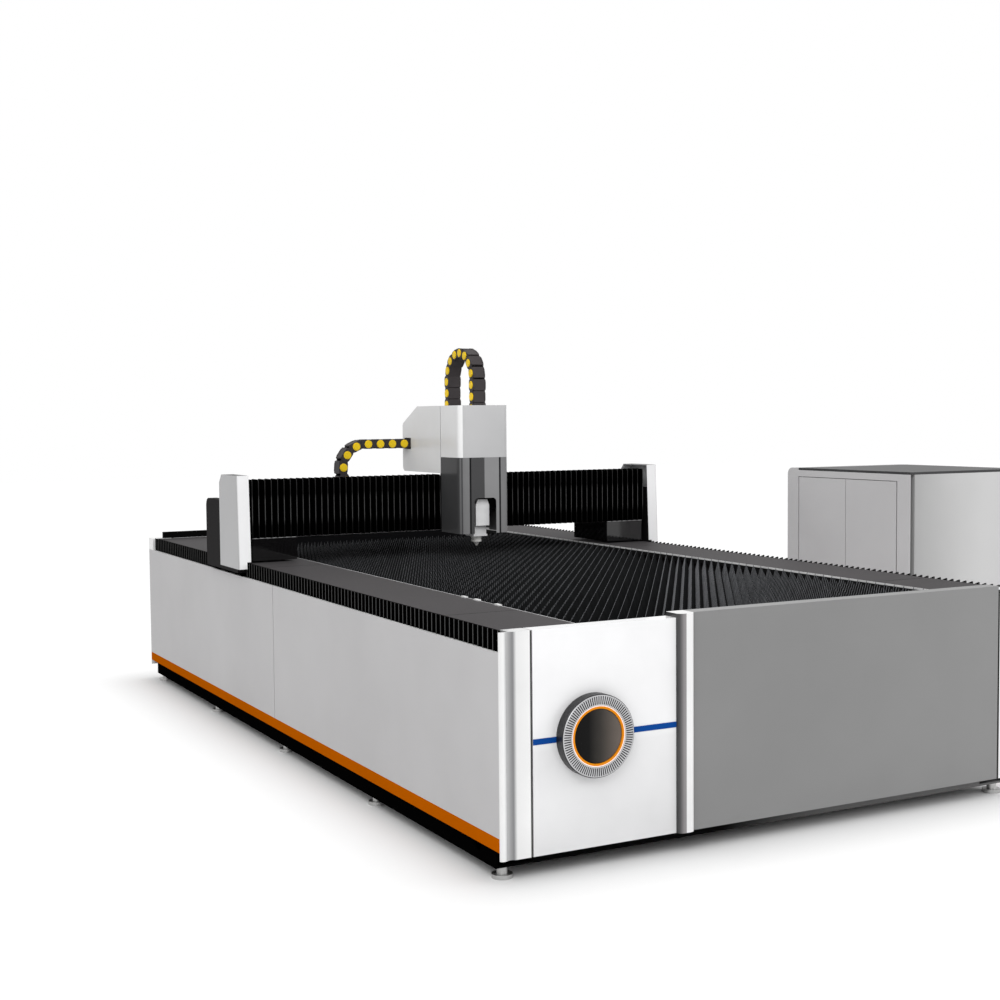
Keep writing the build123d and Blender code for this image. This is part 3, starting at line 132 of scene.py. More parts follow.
# A finish: its shade with a slow drift over the surface, fine relief and uneven gloss
def makeFinish(name, look):
    material = bpy.data.materials.new(name)
    material.use_nodes = True
    tree = material.node_tree
    tree.nodes.clear()
    surface = addNode(tree, "ShaderNodeBsdfPrincipled", look.get("shader"))
    addNode(tree, "ShaderNodeOutputMaterial", {}, {"Surface": surface.outputs["BSDF"]})
    place = addNode(tree, "ShaderNodeTexCoord")
    cloud = addNode(
        tree, "ShaderNodeTexNoise",
        {"Scale": perMetre(look["driftMm"]), "Detail": finishMake["driftDetail"]},
        {"Vector": place.outputs["Object"]})
    drifts = [
        (finishMake["driftFrom"], look.get("drift", finishMake["drift"])), (finishMake["driftTo"], "#ffffff")]
    drift = addNode(tree, "ShaderNodeValToRGB", {"stops": drifts}, {"Fac": cloud.outputs["Fac"]})
    colour = addNode(
        tree, "ShaderNodeMix", {"data_type": "RGBA", "blend_type": "MULTIPLY", 0: 1.0},
        {7: drift.outputs["Color"]})
    if "colour" in look:
        colour.inputs[6].default_value = linear(look["colour"])
    elif "along" in look:
        tree.links.new(shadeAlong(tree, place, look["along"]), colour.inputs[6])
    else:
        tree.links.new(shadeByFacing(tree, place, look), colour.inputs[6])
    tree.links.new(colour.outputs[2], surface.inputs["Base Color"])
    grainScale = tuple(perMetre(size) for size in look["grainMm"])
    stretch = addNode(
        tree, "ShaderNodeVectorMath", {"operation": "MULTIPLY", 1: grainScale}, {0: place.outputs["Object"]})
    grain = addNode(
        tree, "ShaderNodeTexNoise", {"Scale": 1.0, "Detail": finishMake["grainDetail"]},
        {"Vector": stretch.outputs[0]})
    bump = addNode(
        tree, "ShaderNodeBump", {"Strength": finishMake["bumpStrength"], "Distance": look["reliefMm"] * mm},
        {"Height": grain.outputs["Fac"]})
    tree.links.new(bump.outputs["Normal"], surface.inputs["Normal"])
    gloss = addNode(
        tree, "ShaderNodeMapRange", {"To Min": look["rough"][0], "To Max": look["rough"][1]},
        {"Value": grain.outputs["Fac"]})
    tree.links.new(gloss.outputs["Result"], surface.inputs["Roughness"])
    return material


# Powder coat: sprayed and baked. Satin, with a faint orange peel drawn coarser than its 1.5 mm so that it shows
coverLow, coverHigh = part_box("rail_covers")
frameLow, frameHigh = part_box("base_frame")
endLow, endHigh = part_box("cabinet_panels")
standLow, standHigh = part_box("cabinet_frame")
powderCoat = {"driftMm": 600, "grainMm": (9, 9, 9), "reliefMm": 0.04}
powderCoats = {
    # painted highlight: lighter on top; a touch darker on faces to the front than to the sides: painted shade
    "powderCoatLightGrey": {
        "facing": facingStops("#b6b5b6", "#bcbbbc", "#dcdcdc"), "rough": (0.42, 0.5),
        "shader": {"Specular IOR Level": 0.2}},
    # painted light and shade: white front, grey sides, dark top
    "powderCoatCover": {
        "facing": facingStops("#ececed", "#b2b2b3", "#2c2c2d"), "rough": (0.36, 0.44),
        "shader": {"Specular IOR Level": 0.2}},
    # painted shade: darker on faces to the front than on the sides and top
    "powderCoatCabinet": {
        "facing": facingStops("#a4a4a4", "#c3c2c3", "#b0b0b0"), "rough": (0.16, 0.24),
        "shader": {"Specular IOR Level": 0.4}},
    "powderCoatCabinetFrame": {  # paler at the door-side edge, then painted shade: dark just past it and lighter across the rest, as on the end panels
        "along": {"axis": "X", "start": standLow.x, "end": standHigh.x,
                  "stops": [
                      (0, "#c3c2c3"), (0.003, "#c3c2c3"), (0.005, "#8e8e8e"), (0.04, "#a0a0a0"),
                      (0.06, "#a4a4a4"), (0.42, "#bebebe"), (0.6, "#c4c4c4"), (1, "#c4c3c4")],
                  "top": "#b0b0b0"},
        "rough": (0.3, 0.38), "shader": {"Specular IOR Level": 0.3}},
    # painted shade: darker at its door-side end, lighter along X
    "powderCoatCabinetEnd": {
        "along": {"axis": "X", "start": endLow.x, "end": endHigh.x,
                  "stops": [
                      (0, "#a4a4a4"), (0.06, "#a9a9a9"), (0.4, "#bebebe"), (0.6, "#c4c4c4"), (1, "#c4c3c4")]},
        "rough": (0.3, 0.38), "shader": {"Specular IOR Level": 0.3}},
    "powderCoatMidGrey": {"colour": "#888888", "rough": (0.42, 0.5), "shader": {"Specular IOR Level": 0.25}},
    "powderCoatBlack": {"colour": "#161415", "rough": (0.55, 0.65), "shader": {"Specular IOR Level": 0.03}},
    "powderCoatCharcoal": {  # painted shade: grey on top, black down its folded edges; those edges darker still over the rear tenth
        "along": {"axis": "Y", "start": coverLow.y, "end": coverHigh.y,
                  "stops": [(0, "#1a1819"), (0.9, "#1a1819"), (1, "#060606")], "top": "#434142"},
        "rough": (0.5, 0.6), "shader": {"Specular IOR Level": 0.03}},
    "powderCoatDeck": {"colour": "#0c0c0d", "rough": (0.6, 0.7), "shader": {"Specular IOR Level": 0.0}},
    "powderCoatRoof": {"colour": "#3d3d3e", "rough": (0.42, 0.5), "shader": {"Specular IOR Level": 0.15}},
    "powderCoatOrange": {"colour": "#b85a00", "rough": (0.55, 0.65), "shader": {"Specular IOR Level": 0.0}},
    "powderCoatBase": {  # painted shade: near black to the left, paler on the cabinet's side
        "along": {"axis": "X", "start": frameLow.x, "end": frameHigh.x,
                  "stops": [
                      (0, "#040404"), (0.03, "#080808"), (0.4, "#101010"), (0.6, "#6c6c6c"), (1, "#787878")]},
        "rough": (0.6, 0.7), "shader": {"Specular IOR Level": 0.0}},
}

# Stoved enamel: gloss sheet paint, mirror-like, with a slow waviness of the sheet below
panelLow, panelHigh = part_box("feature_panel")
columnLow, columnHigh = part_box("corner_columns")
dividerLow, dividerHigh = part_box("divider_column")
columnMiddle = (columnLow.x + columnHigh.x) / 2
columnHalf = (columnHigh.x - columnLow.x) / 2
columnWidth = 113 * mm
clearCoat = {"Specular IOR Level": 0.3, "Coat Weight": 0.2, "Coat Roughness": 0.05}
stovedEnamel = {"driftMm": 300, "grainMm": (140, 140, 140), "reliefMm": 0.1}
stovedEnamels = {
    # painted shade: darker over its lower half, with a step at mid-height
    "whiteEnamelPanel": {
        "along": {"axis": "Z", "start": panelLow.z, "end": panelHigh.z,
                  "stops": [(0, "#e0e0e1"), (0.46, "#e8e8e9"), (0.5, "#f1f1f2"), (1, "#f5f5f6")]},
        "rough": (0.12, 0.18), "shader": clearCoat},
    "whiteEnamelHousing": {  # painted reflection and shade: its colour follows how far a face turns to the left, across its rounded left edges onto the side
        "facing": [
            (0, "#fcfcfc"), (0.012, "#fcfcfc"), (0.022, "#7c7c7d"), (0.15, "#a3a3a4"), (0.26, "#bdbdbe"),
            (0.3, "#f8f8f8"), (0.46, "#f8f8f8"), (0.49, "#ebebeb"), (0.6, "#ebebeb"), (0.75, "#e8e8e8"),
            (1, "#e8e8e8")],
        "leftOnly": True, "rough": (0.2, 0.28), "shader": {"Specular IOR Level": 0.25}},
    "columnEnamel": {  # painted reflection: light edges and a dark band down each rounded corner; a dark joint at the inner edge
        "along": {"axis": "X", "about": columnMiddle, "start": columnHalf, "end": columnHalf - columnWidth,
                  "stops": [
                      (0, "#e9e9e9"), (0.12, "#f0f0f0"), (0.19, "#c2c2c3"), (0.32, "#a0a0a1"),
                      (0.42, "#838385"), (0.46, "#b4b4b5"), (0.52, "#e6e6e6"), (0.95, "#efefef"),
                      (0.965, "#262626"), (1, "#222222")],
                  "top": "#e4e4e4"},
        "rough": (0.16, 0.22), "shader": clearCoat},
    # painted shade: dark through grey across its left part, then a white front; a dark joint at its right edge
    "dividerEnamel": {
        "along": {"axis": "X", "start": dividerLow.x, "end": dividerHigh.x,
                  "stops": [
                      (0, "#3b3b3c"), (0.1, "#484748"), (0.27, "#858283"), (0.43, "#969394"),
                      (0.455, "#efefef"), (0.94, "#f1f1f1"), (0.96, "#3a3a3b"), (1, "#2a2a2b")],
                  "top": "#dcdcdc"},
        "rough": (0.16, 0.22), "shader": clearCoat},
    "blackEnamel": {
        "colour": "#0c0b0c", "rough": (0.04, 0.08), "shader": {"IOR": 1.6, "Specular IOR Level": 0.5}},
    "blueEnamel": {"colour": "#0b4592", "rough": (0.3, 0.38), "shader": {"Specular IOR Level": 0.04}},
}

# Mill-scaled steel: blue-black scale on the flats of the slats, brighter laser-cut edges
millScale = {"driftMm": 45, "drift": "#c8c8c8", "grainMm": (12, 12, 12), "reliefMm": 0.1}
millScales = {
    "millScaleSteel": {
        "facing": facingStops("#202122", "#67686b", "#707174"), "rough": (0.5, 0.65),
        "shader": {"Specular IOR Level": 0.04}},
}

# Bare metal: ground, zinc plated, anodised or turned. Fine marks along the work give soft streaks
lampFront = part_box("lamp_housing")[0].y
lampFace = {"brightMm": 1.0, "darkMm": 1.6}
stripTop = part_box("rail_edge_strips")[1].z
stripHighlight = {"brightMm": 11, "fadeMm": 2}
stripBright = stripTop - stripHighlight["brightMm"] * mm
bareMetal = {"driftMm": 90, "drift": "#e6e6e6", "reliefMm": 0.03}
bareMetals = {
    "groundSteel": {
        "colour": "#b9babc", "rough": (0.22, 0.34), "grainMm": (3, 120, 3), "shader": {"Metallic": 1.0}},
    "zincPlate": {
        "colour": "#c6c6c5", "rough": (0.35, 0.5), "grainMm": (14, 14, 14), "shader": {"Metallic": 1.0}},
    "satinAluminium": {
        "colour": "#e6e6e7", "rough": (0.4, 0.52), "grainMm": (40, 4, 4), "shader": {"Metallic": 0.2}},
    "dullAluminium": {
        "colour": "#8a8a8b", "rough": (0.5, 0.6), "grainMm": (40, 4, 4), "shader": {"Metallic": 0.2}},
    "paintedHighlightStrip": {  # painted highlight: bright along its top, black below
        "along": {"axis": "Z", "start": stripBright - stripHighlight["fadeMm"] * mm, "end": stripBright,
                  "stops": [(0, "#161617"), (1, "#dedede")]},
        "rough": (0.4, 0.5), "grainMm": (6, 60, 6), "shader": {"Metallic": 0.1, "Specular IOR Level": 0.1}},
    "blackAnodised": {
        "colour": "#1b1b1d", "rough": (0.4, 0.5), "grainMm": (4, 4, 40), "shader": {"Metallic": 0.3}},
    "turnedAluminium": {
        "colour": "#e8e7e4", "rough": (0.24, 0.34), "grainMm": (30, 30, 1.5), "shader": {"Metallic": 0.15}},
    "lampAluminium": {  # bright turned face; everything behind it dark: painted shade in the slots, and the side dark as well
        "along": {"axis": "Y", "start": lampFront + lampFace["brightMm"] * mm,
                  "end": lampFront + lampFace["darkMm"] * mm, "stops": [(0, "#c9c9cb"), (1, "#3c3c3e")]},
        "rough": (0.34, 0.44), "grainMm": (5, 5, 5), "shader": {"Metallic": 0.75}},
}

# Moulded nylon, cast acrylic and motor paint: even colour, fine mould texture
shroudLow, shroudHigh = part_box("head_shroud")
lensLow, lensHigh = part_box("lamp_lens")
moulding = {"driftMm": 60, "grainMm": (6, 6, 6), "reliefMm": 0.05}
mouldings = {
    "mouldedNylonBlack": {"colour": "#363233", "rough": (0.45, 0.58), "shader": {"Specular IOR Level": 0.15}},
    "mouldedNylonYellow": {"colour": "#ecc81c", "rough": (0.38, 0.48), "shader": {"Specular IOR Level": 0.2}},
    "smokedAcrylic": {  # bent sheet: joints show as dark lines. Painted reflection: tones change across it, the front darker on its left half and lighter on its right
        "along": {"axis": "X", "start": shroudLow.x, "end": shroudHigh.x,
                  "stops": [
                      (0, "#464647"), (0.012, "#464647"), (0.03, "#747475"), (0.05, "#38383a"),
                      (0.065, "#7a7a7b"), (0.176, "#7c7c7d"), (0.186, "#151516"), (0.211, "#151516"),
                      (0.221, "#4a4a4b"), (0.48, "#4a4a4b"), (0.49, "#8c8c8d"), (0.775, "#8c8c8d"),
                      (0.785, "#1c1c1d"), (0.81, "#1c1c1d"), (0.82, "#7e7e7f"), (0.985, "#7e7e7f"),
                      (1, "#464647")]},
        "rough": (0.16, 0.22), "driftMm": 200, "shader": {"Specular IOR Level": 0.08}},
    "blackAcrylicLens": {  # painted reflection: lighter towards its right side
        "along": {"axis": "X", "start": lensLow.x, "end": lensHigh.x,
                  "stops": [(0, "#080808"), (0.3, "#0e0e0e"), (0.55, "#383532"), (1, "#6c635c")]},
        "rough": (0.14, 0.2), "shader": {"Specular IOR Level": 0.1}},
    "orangeAcrylic": {"colour": "#e48a12", "rough": (0.3, 0.4), "shader": {"Specular IOR Level": 0.06}},
    "motorPaint": {"colour": "#1c1c1d", "rough": (0.38, 0.48), "shader": {"Specular IOR Level": 0.2}},
}

# Coated cloth: black, dull, with a fine weave. The ridge of each fold is paler: a painted highlight
beamLow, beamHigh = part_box("beam_bellows")
coatedCloth = {"driftMm": 40, "grainMm": (5, 5, 5), "reliefMm": 0.08}
coatedCloths = {
    "coatedCloth": {"colour": "#020202", "rough": (0.7, 0.8), "shader": {"Specular IOR Level": 0.0}},
    "coatedClothRailEdge": {"colour": "#505050", "rough": (0.6, 0.7), "shader": {"Specular IOR Level": 0.04}},
    # painted highlight on the fold ridges, brightest over the middle of the beam's height
    "coatedClothBeamEdge": {
        "along": {"axis": "Z", "start": beamLow.z, "end": beamHigh.z,
                  "stops": [
                      (0, "#0d0d0d"), (0.2, "#151515"), (0.32, "#454545"), (0.64, "#454545"),
                      (0.74, "#202020"), (1, "#2c2c2c")]},
        "rough": (0.6, 0.7), "shader": {"Specular IOR Level": 0.04}},
}

# Light that leaks out round the lamp's orange ring
lampLights = {
    "lampGlow": {
        "colour": "#ffe9e0", "driftMm": 20, "grainMm": (20, 20, 20), "reliefMm": 0.01, "rough": (0.4, 0.5),
        "shader": {"Emission Color": linear("#ffe6dc"), "Emission Strength": 0.5}},
}

materials = {}
for common, looks in (
        (powderCoat, powderCoats), (stovedEnamel, stovedEnamels), (millScale, millScales),
        (bareMetal, bareMetals), (moulding, mouldings), (coatedCloth, coatedCloths), ({}, lampLights)):
    for name, look in looks.items():
        materials[name] = makeFinish(name, {**common, **look})
print("finishes made:", len(materials))

# Which finish each CAD piece has
finishes = {
    "powderCoatLightGrey": ["side_panels", "rear_panel"],
    "powderCoatCover": ["gantry_covers"],
    "powderCoatCabinet": ["cabinet_door_front", "cabinet_door_rear"],
    "powderCoatCabinetFrame": ["cabinet_frame"],
    "powderCoatCabinetEnd": ["cabinet_panels"],
    "powderCoatMidGrey": ["front_panel"],
    "powderCoatBlack": [
        "bed_frame", "rail_inner_walls", "scrap_trays", "gantry_end_plates", "gantry_beam", "carriage_plate",
        "chain_tray", "cable_duct"],
    "powderCoatBase": ["base_frame"],
    "powderCoatCharcoal": ["rail_covers"],
    "powderCoatDeck": ["rear_deck"],
    "powderCoatRoof": ["cabinet_roof"],
    "powderCoatOrange": ["base_trims"],
    "whiteEnamelPanel": ["feature_panel"],
    "whiteEnamelHousing": ["carriage_front_housing", "carriage_rear_housing"],
    "columnEnamel": ["corner_columns"],
    "dividerEnamel": ["divider_column"],
    "blackEnamel": ["gantry_foot_blocks"],
    "blueEnamel": ["accent_strips"],
    "millScaleSteel": ["slats_front", "slats_rear", "slat_supports"],
    "groundSteel": [
        "y_guide_rails", "y_racks", "y_guide_blocks", "y_pinion_left", "y_pinion_right", "x_guide_rails",
        "x_rack", "x_guide_blocks", "x_pinion", "ball_screw", "z_guide_rails"],
    "zincPlate": ["levelling_feet", "hinge_pins"],
    "paintedHighlightStrip": ["rail_edge_strips"],
    "satinAluminium": ["cutting_head"],
    "blackAnodised": ["head_slide"],
    "turnedAluminium": ["nozzle"],
    "lampAluminium": ["lamp_housing"],
    "smokedAcrylic": ["head_shroud"],
    "blackAcrylicLens": ["lamp_lens"],
    "orangeAcrylic": ["lamp_light_ring"],
    "motorPaint": ["y_drive_motors", "x_drive_motor", "z_axis_motor", "laser_source"],
    "coatedCloth": ["rail_bellows", "beam_bellows"],
    "mouldedNylonBlack": ["x_cable_chain", "z_cable_chain"],
}
for finish, members in finishes.items():
    for member in members:
        mesh = nodes[member].data
        mesh.materials.clear()
        mesh.materials.append(materials[finish])
print("finishes set on", sum(len(members) for members in finishes.values()), "nodes")


# A mesh object from points and faces, one finish number a face
def makePiece(name, points, faces, finishNames, faceFinish):
    mesh = bpy.data.meshes.new(name)
    mesh.from_pydata([tuple(point) for point in points], [], faces)
    for finish in finishNames:
        mesh.materials.append(materials[finish])
    mesh.polygons.foreach_set("material_index", faceFinish)
    mesh.update()
    piece = bpy.data.objects.new(name, mesh)
    scene.collection.objects.link(piece)
    return piece


# Bake the piece's transform into its mesh
def blendEvenly(piece):
    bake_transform(piece)


# Stations of a folded run: place along it and whether a ridge or a valley
def foldStations(start, end, folds):
    count = max(1, round(abs(end - start) / (folds["pitchMm"] * mm)))
    step = (end - start) / count
    way = math.copysign(1, step)
    ridge, valley = way * folds["ridgeMm"] * mm / 2, way * folds["valleyMm"] * mm / 2
    stations = [(start, 0)]
    for index in range(count):
        middle = start + step * (index + 0.5)
        after = start + step * (index + 1)
        stations += [(middle - ridge, 1), (middle + ridge, 1)]
        if index < count - 1:
            stations += [(after - valley, 0), (after + valley, 0)]
    return stations + [(end, 0)]


# Closed mesh through rings of points; strips that join two ridge rings take the second finish
def ringPiece(name, rings, ridges, flip, finishNames):
    size = len(rings[0])
    points = [point for ring in rings for point in ring]
    faces = [list(range(size)), [len(points) - 1 - index for index in range(size)]]
    finish = [0, 0]
    for row in range(len(rings) - 1):
        for index in range(size):
            following = (index + 1) % size
            low, high = row * size, (row + 1) * size
            faces.append([low + index, high + index, high + following, low + following])
            finish.append(1 if ridges[row] and ridges[row + 1] else 0)
    if flip:
        faces = [face[::-1] for face in faces]
    return makePiece(name, points, faces, finishNames, finish)


# Rail bellows: coated cloth folded between the corner columns and the gantry's end plates
railFolds = {"pitchMm": 35, "ridgeMm": 5, "valleyMm": 3, "wallMm": 2.5, "valleyDropMm": 10, "coverGapMm": 5}
railLow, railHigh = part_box("rail_bellows")
plateLow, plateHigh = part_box("gantry_end_plates")


def railRun(name, side, bedEnd, gantryEnd):  # side is -1 for the left rail, 1 for the right one
    middle = (railLow.x + railHigh.x) / 2
    wall = railFolds["wallMm"] * mm
    outer, inner = railLow.x, coverLow.x - railFolds["coverGapMm"] * mm
    stations = foldStations(bedEnd, gantryEnd, railFolds)
    rings = []
    for y, ridge in stations:
        x = outer if ridge else inner - wall
        top = railHigh.z if ridge else railHigh.z - railFolds["valleyDropMm"] * mm
        section = [(x, railLow.z), (x + wall, railLow.z), (x + wall, top), (x, top)]
        rings.append([(across if side < 0 else 2 * middle - across, y, up) for across, up in section])
    flip = (side < 0) == (gantryEnd > bedEnd)
    piece = ringPiece(
        name, rings, [ridge for place, ridge in stations], flip, ["coatedCloth", "coatedClothRailEdge"])
    blendEvenly(piece)
    return piece


railRuns = [
    railRun("railBellowsFrontLeft", -1, railLow.y, plateLow.y),
    railRun("railBellowsFrontRight", 1, railLow.y, plateLow.y),
    railRun("railBellowsRearLeft", -1, railHigh.y, plateHigh.y),
    railRun("railBellowsRearRight", 1, railHigh.y, plateHigh.y),
]
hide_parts("rail_bellows")
print("rail bellows folded:", len(railRuns))

# Beam bellows: the same cloth over the front and the top of the beam
beamFolds = {
    "pitchMm": 31.5, "ridgeMm": 3.6, "valleyMm": 2, "wallMm": 2.5, "depthMm": 23,
    "cornerMm": 10, "cornerShare": 0.3,
}


def beamRun(name, gantryEnd, carriageEnd):
    wall, corner = beamFolds["wallMm"] * mm, beamFolds["cornerMm"] * mm
    cut = corner * beamFolds["cornerShare"]
    stations = foldStations(gantryEnd, carriageEnd, beamFolds)
    rings = []
    for x, ridge in stations:
        inset = 0 if ridge else beamFolds["depthMm"] * mm
        y, z = beamLow.y + inset, beamHigh.z - inset
        section = [
            (y, beamLow.z), (y, z - corner), (y + cut, z - cut), (y + corner, z), (beamHigh.y, z),
            (beamHigh.y, z - wall), (y + corner, z - wall), (y + wall, z - corner), (y + wall, beamLow.z)]
        rings.append([(x, along, up) for along, up in section])
    piece = ringPiece(
        name, rings, [ridge for place, ridge in stations], carriageEnd < gantryEnd,
        ["coatedCloth", "coatedClothBeamEdge"])
    blendEvenly(piece)
    return piece


carriageLow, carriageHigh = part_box("x_guide_blocks")
beamRuns = [
    beamRun("beamBellowsLeft", beamLow.x, carriageLow.x),
    beamRun("beamBellowsRight", beamHigh.x, carriageHigh.x),
]
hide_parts("beam_bellows")
print("beam bellows folded:", len(beamRuns))

# Cable chains: moulded links with two side plates, closed lids and a yellow snap cap on the near side
chainLink = {
    "plateMm": 7, "plateShare": 0.96, "overlapShare": 0.08, "endShare": 0.8, "endSteps": 6,  # side plates
    "stepShare": 0.3,  # every other link's plates are set in by this share of their thickness
    "lidMm": 5, "lidShare": 0.995, "lidTaper": 0.94, "lidDropMm": 2.2, "lidSeat": 0.6,
    "capMm": 3, "capShare": 0.41, "capTop": 0.8, "capEdge": 0.45, "capSeatMm": 0.01, "capSteps": 20,
    "blendMm": 100,
}


def loopPlace(distance, leg, radius):  # along one leg, round the half turn and down the other
    bend = math.pi * radius
    if distance <= leg:
        return Vector((0, distance - leg)), Vector((0, 1))
    if distance <= leg + bend:
        turn = (distance - leg) / radius
        spot = Vector((radius * (1 - math.cos(turn)), radius * math.sin(turn)))
        return spot, Vector((math.sin(turn), math.cos(turn)))
    return Vector((2 * radius, leg + bend - distance)), Vector((0, -1))


def loopWeight(distance, leg, bend, total):  # a leg slides, the half turn moves half as far
    if distance <= leg:
        return 1 - 0.5 * distance / leg
    if distance <= leg + bend:
        return 0.5
    return 0.5 * (total - distance) / (total - leg - bend)


def circle(radius, steps):
    turns = [math.tau * step / steps for step in range(steps)]
    return [(radius * math.cos(turn), radius * math.sin(turn)) for turn in turns]


def linkPlate(reach, half):  # side plate with rounded ends
    endRadius = half * chainLink["endShare"]
    plate = []
    for centre, start in ((reach - endRadius, -90), (endRadius - reach, 90)):
        for step in range(chainLink["endSteps"] + 1):
            angle = math.radians(start + 180 * step / chainLink["endSteps"])
            rise = half * chainLink["plateShare"] * math.sin(angle)
            plate.append((centre + endRadius * math.cos(angle), rise))
    return plate


def linkLid(pitch, half, side):  # side is 1 for the outer lid, -1 for the inner one
    inner = pitch * chainLink["lidShare"] / 2
    outer = inner * chainLink["lidTaper"]
    outerEdge = (half - chainLink["lidDropMm"] * mm) * side
    innerEdge = outerEdge - chainLink["lidMm"] * mm * side
    lid = [(-inner, innerEdge), (inner, innerEdge), (outer, outerEdge), (-outer, outerEdge)]
    return lid if side > 0 else lid[::-1]


def chainPiece(name, chain):
    leg, otherLeg, radius = chain["leg"], chain["otherLeg"], chain["radius"]
    bend = math.pi * radius
    total = leg + bend + otherLeg
    pitch = total / chain["links"]
    half, width = chain["thickness"] / 2, chain["width"]
    thick, capDepth = chainLink["plateMm"] * mm, chainLink["capMm"] * mm
    capRadius = chain["thickness"] * chainLink["capShare"]
    capBase = circle(capRadius, chainLink["capSteps"])
    capTop = circle(capRadius * chainLink["capTop"], chainLink["capSteps"])
    plate = linkPlate(pitch * (0.5 + chainLink["overlapShare"]), half)
    lidSeat = thick * chainLink["lidSeat"]
    edge, seat = -capDepth * chainLink["capEdge"], chainLink["capSeatMm"] * mm
    points, faces, finish, weights = [], [], [], []

    def addPrism(outline, low, high, colour, middle, along, out, distance):
        first = len(points)
        size = len(outline)
        for depth in (low, high):
            for ahead, aside in outline:
                flat = middle + along * ahead + out * aside
                points.append(
                    chain["origin"] + chain["bendWay"] * flat.x + chain["legWay"] * flat.y
                    + chain["widthWay"] * depth)
                weights.append(loopWeight(min(max(distance + ahead, 0), total), leg, bend, total))
        faces.append([first + index for index in range(size)])
        faces.append([first + size + index for index in reversed(range(size))])
        for index in range(size):
            following = (index + 1) % size
            faces.append([first + following, first + index, first + size + index, first + size + following])
        finish.extend([colour] * (size + 2))

    for index in range(chain["links"]):
        distance = pitch * (index + 0.5)
        middle, along = loopPlace(distance, leg, radius)
        spot = (middle, along, Vector((-along.y, along.x)), distance)
        step = thick * chainLink["stepShare"] * (index % 2)
        addPrism(plate, step, step + thick, 0, *spot)
        addPrism(plate, width - step - thick, width - step, 0, *spot)
        for side in (-1, 1):
            addPrism(linkLid(pitch, half, side), lidSeat, width - lidSeat, 0, *spot)
        addPrism(capBase, edge, step + seat, 1, *spot)
        addPrism(capTop, -capDepth, edge + seat, 1, *spot)
    piece = makePiece(name, points, faces, ["mouldedNylonBlack", "mouldedNylonYellow"], finish)
    blendEvenly(piece)
    return piece


# Vertical chain: from the head slide's arm over the housings to the carriage shelf
verticalChain = {"thicknessMm": 48, "links": 21}
capReach = chainLink["capMm"] * mm
zLow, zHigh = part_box("z_cable_chain")
zThick = verticalChain["thicknessMm"] * mm
zRadius = (zHigh.y - zLow.y - zThick) / 2
zBend = zHigh.z - zThick / 2 - zRadius
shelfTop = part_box("z_axis_motor")[0].z
zChain = chainPiece("verticalCableChain", {
    "origin": Vector((zLow.x + capReach, zLow.y + zThick / 2, zBend)),
    "bendWay": Vector((0, 1, 0)), "legWay": Vector((0, 0, 1)), "widthWay": Vector((1, 0, 0)),
    "leg": zBend - zLow.z, "otherLeg": zBend - shelfTop, "radius": zRadius,
    "thickness": zThick, "width": zHigh.x - zLow.x - capReach, "links": verticalChain["links"],
})
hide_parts("z_cable_chain")

# Beam chain: from its hold in the rear housing round to the tray behind the beam
beamChain = {"thicknessMm": 50, "links": 20, "holdMm": 200}
xLow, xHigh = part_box("x_cable_chain")
xThick = beamChain["thicknessMm"] * mm
xRadius = (xHigh.z - xLow.z - xThick) / 2
xBend = xLow.x + xThick / 2 + xRadius
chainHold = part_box("carriage_rear_housing")[0].x + beamChain["holdMm"] * mm
xChain = chainPiece("beamCableChain", {
    "origin": Vector((xBend, xLow.y + capReach, xHigh.z - xThick / 2)),
    "bendWay": Vector((0, 0, -1)), "legWay": Vector((-1, 0, 0)), "widthWay": Vector((0, 1, 0)),
    "leg": chainHold - xBend, "otherLeg": xHigh.x - xBend, "radius": xRadius,
    "thickness": xThick, "width": xHigh.y - xLow.y - capReach, "links": beamChain["links"],
})
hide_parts("x_cable_chain")
print("cable chains linked")

# Thin line of light between the lamp's slotted ring and its orange ring
glowLine = {"widthMm": 2.2, "steps": 96, "sides": 8}


def glowRing(name):
    low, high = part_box("lamp_light_ring")
    centre, radius = (low + high) / 2, (high.x - low.x) / 2
    half = glowLine["widthMm"] * mm / 2
    steps, sides = glowLine["steps"], glowLine["sides"]
    points, faces = [], []
    for step in range(steps):
        turn = math.tau * step / steps
        for side in range(sides):
            around = math.tau * side / sides
            reach = radius - half + half * math.cos(around)
            points.append((
                centre.x + reach * math.cos(turn), low.y + half * math.sin(around),
                centre.z + reach * math.sin(turn)))
            faces.append([
                step * sides + side, step * sides + (side + 1) % sides,
                (step + 1) % steps * sides + (side + 1) % sides, (step + 1) % steps * sides + side])
    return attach(makePiece(name, points, faces, ["lampGlow"], [0] * len(faces)), "bed")


glowRing("lampGlowLine")
print("lamp glow added")

# Bright trim strip along the top front edge of each foot block
footTrim = {"lengthMm": 220, "heightMm": 4, "depthMm": 5, "proudMm": 1.2, "chamferMm": 2}
footLow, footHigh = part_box("gantry_foot_blocks")


def footStrip(name, start, end):
    front, back = footLow.y - footTrim["proudMm"] * mm, footLow.y + footTrim["depthMm"] * mm
    bottom, top = footHigh.z - footTrim["heightMm"] * mm, footHigh.z
    chamfer = footTrim["chamferMm"] * mm
    section = [(front, bottom), (front, top - chamfer), (front + chamfer, top), (back, top), (back, bottom)]
    rings = [[(x, along, up) for along, up in section] for x in (start, end)]
    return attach(ringPiece(name, rings, [0, 0], False, ["dullAluminium"]), "gantry")


footStrip("footTrimLeft", footLow.x, footLow.x + footTrim["lengthMm"] * mm)
footStrip("footTrimRight", footHigh.x - footTrim["lengthMm"] * mm, footHigh.x)
print("foot trim added")

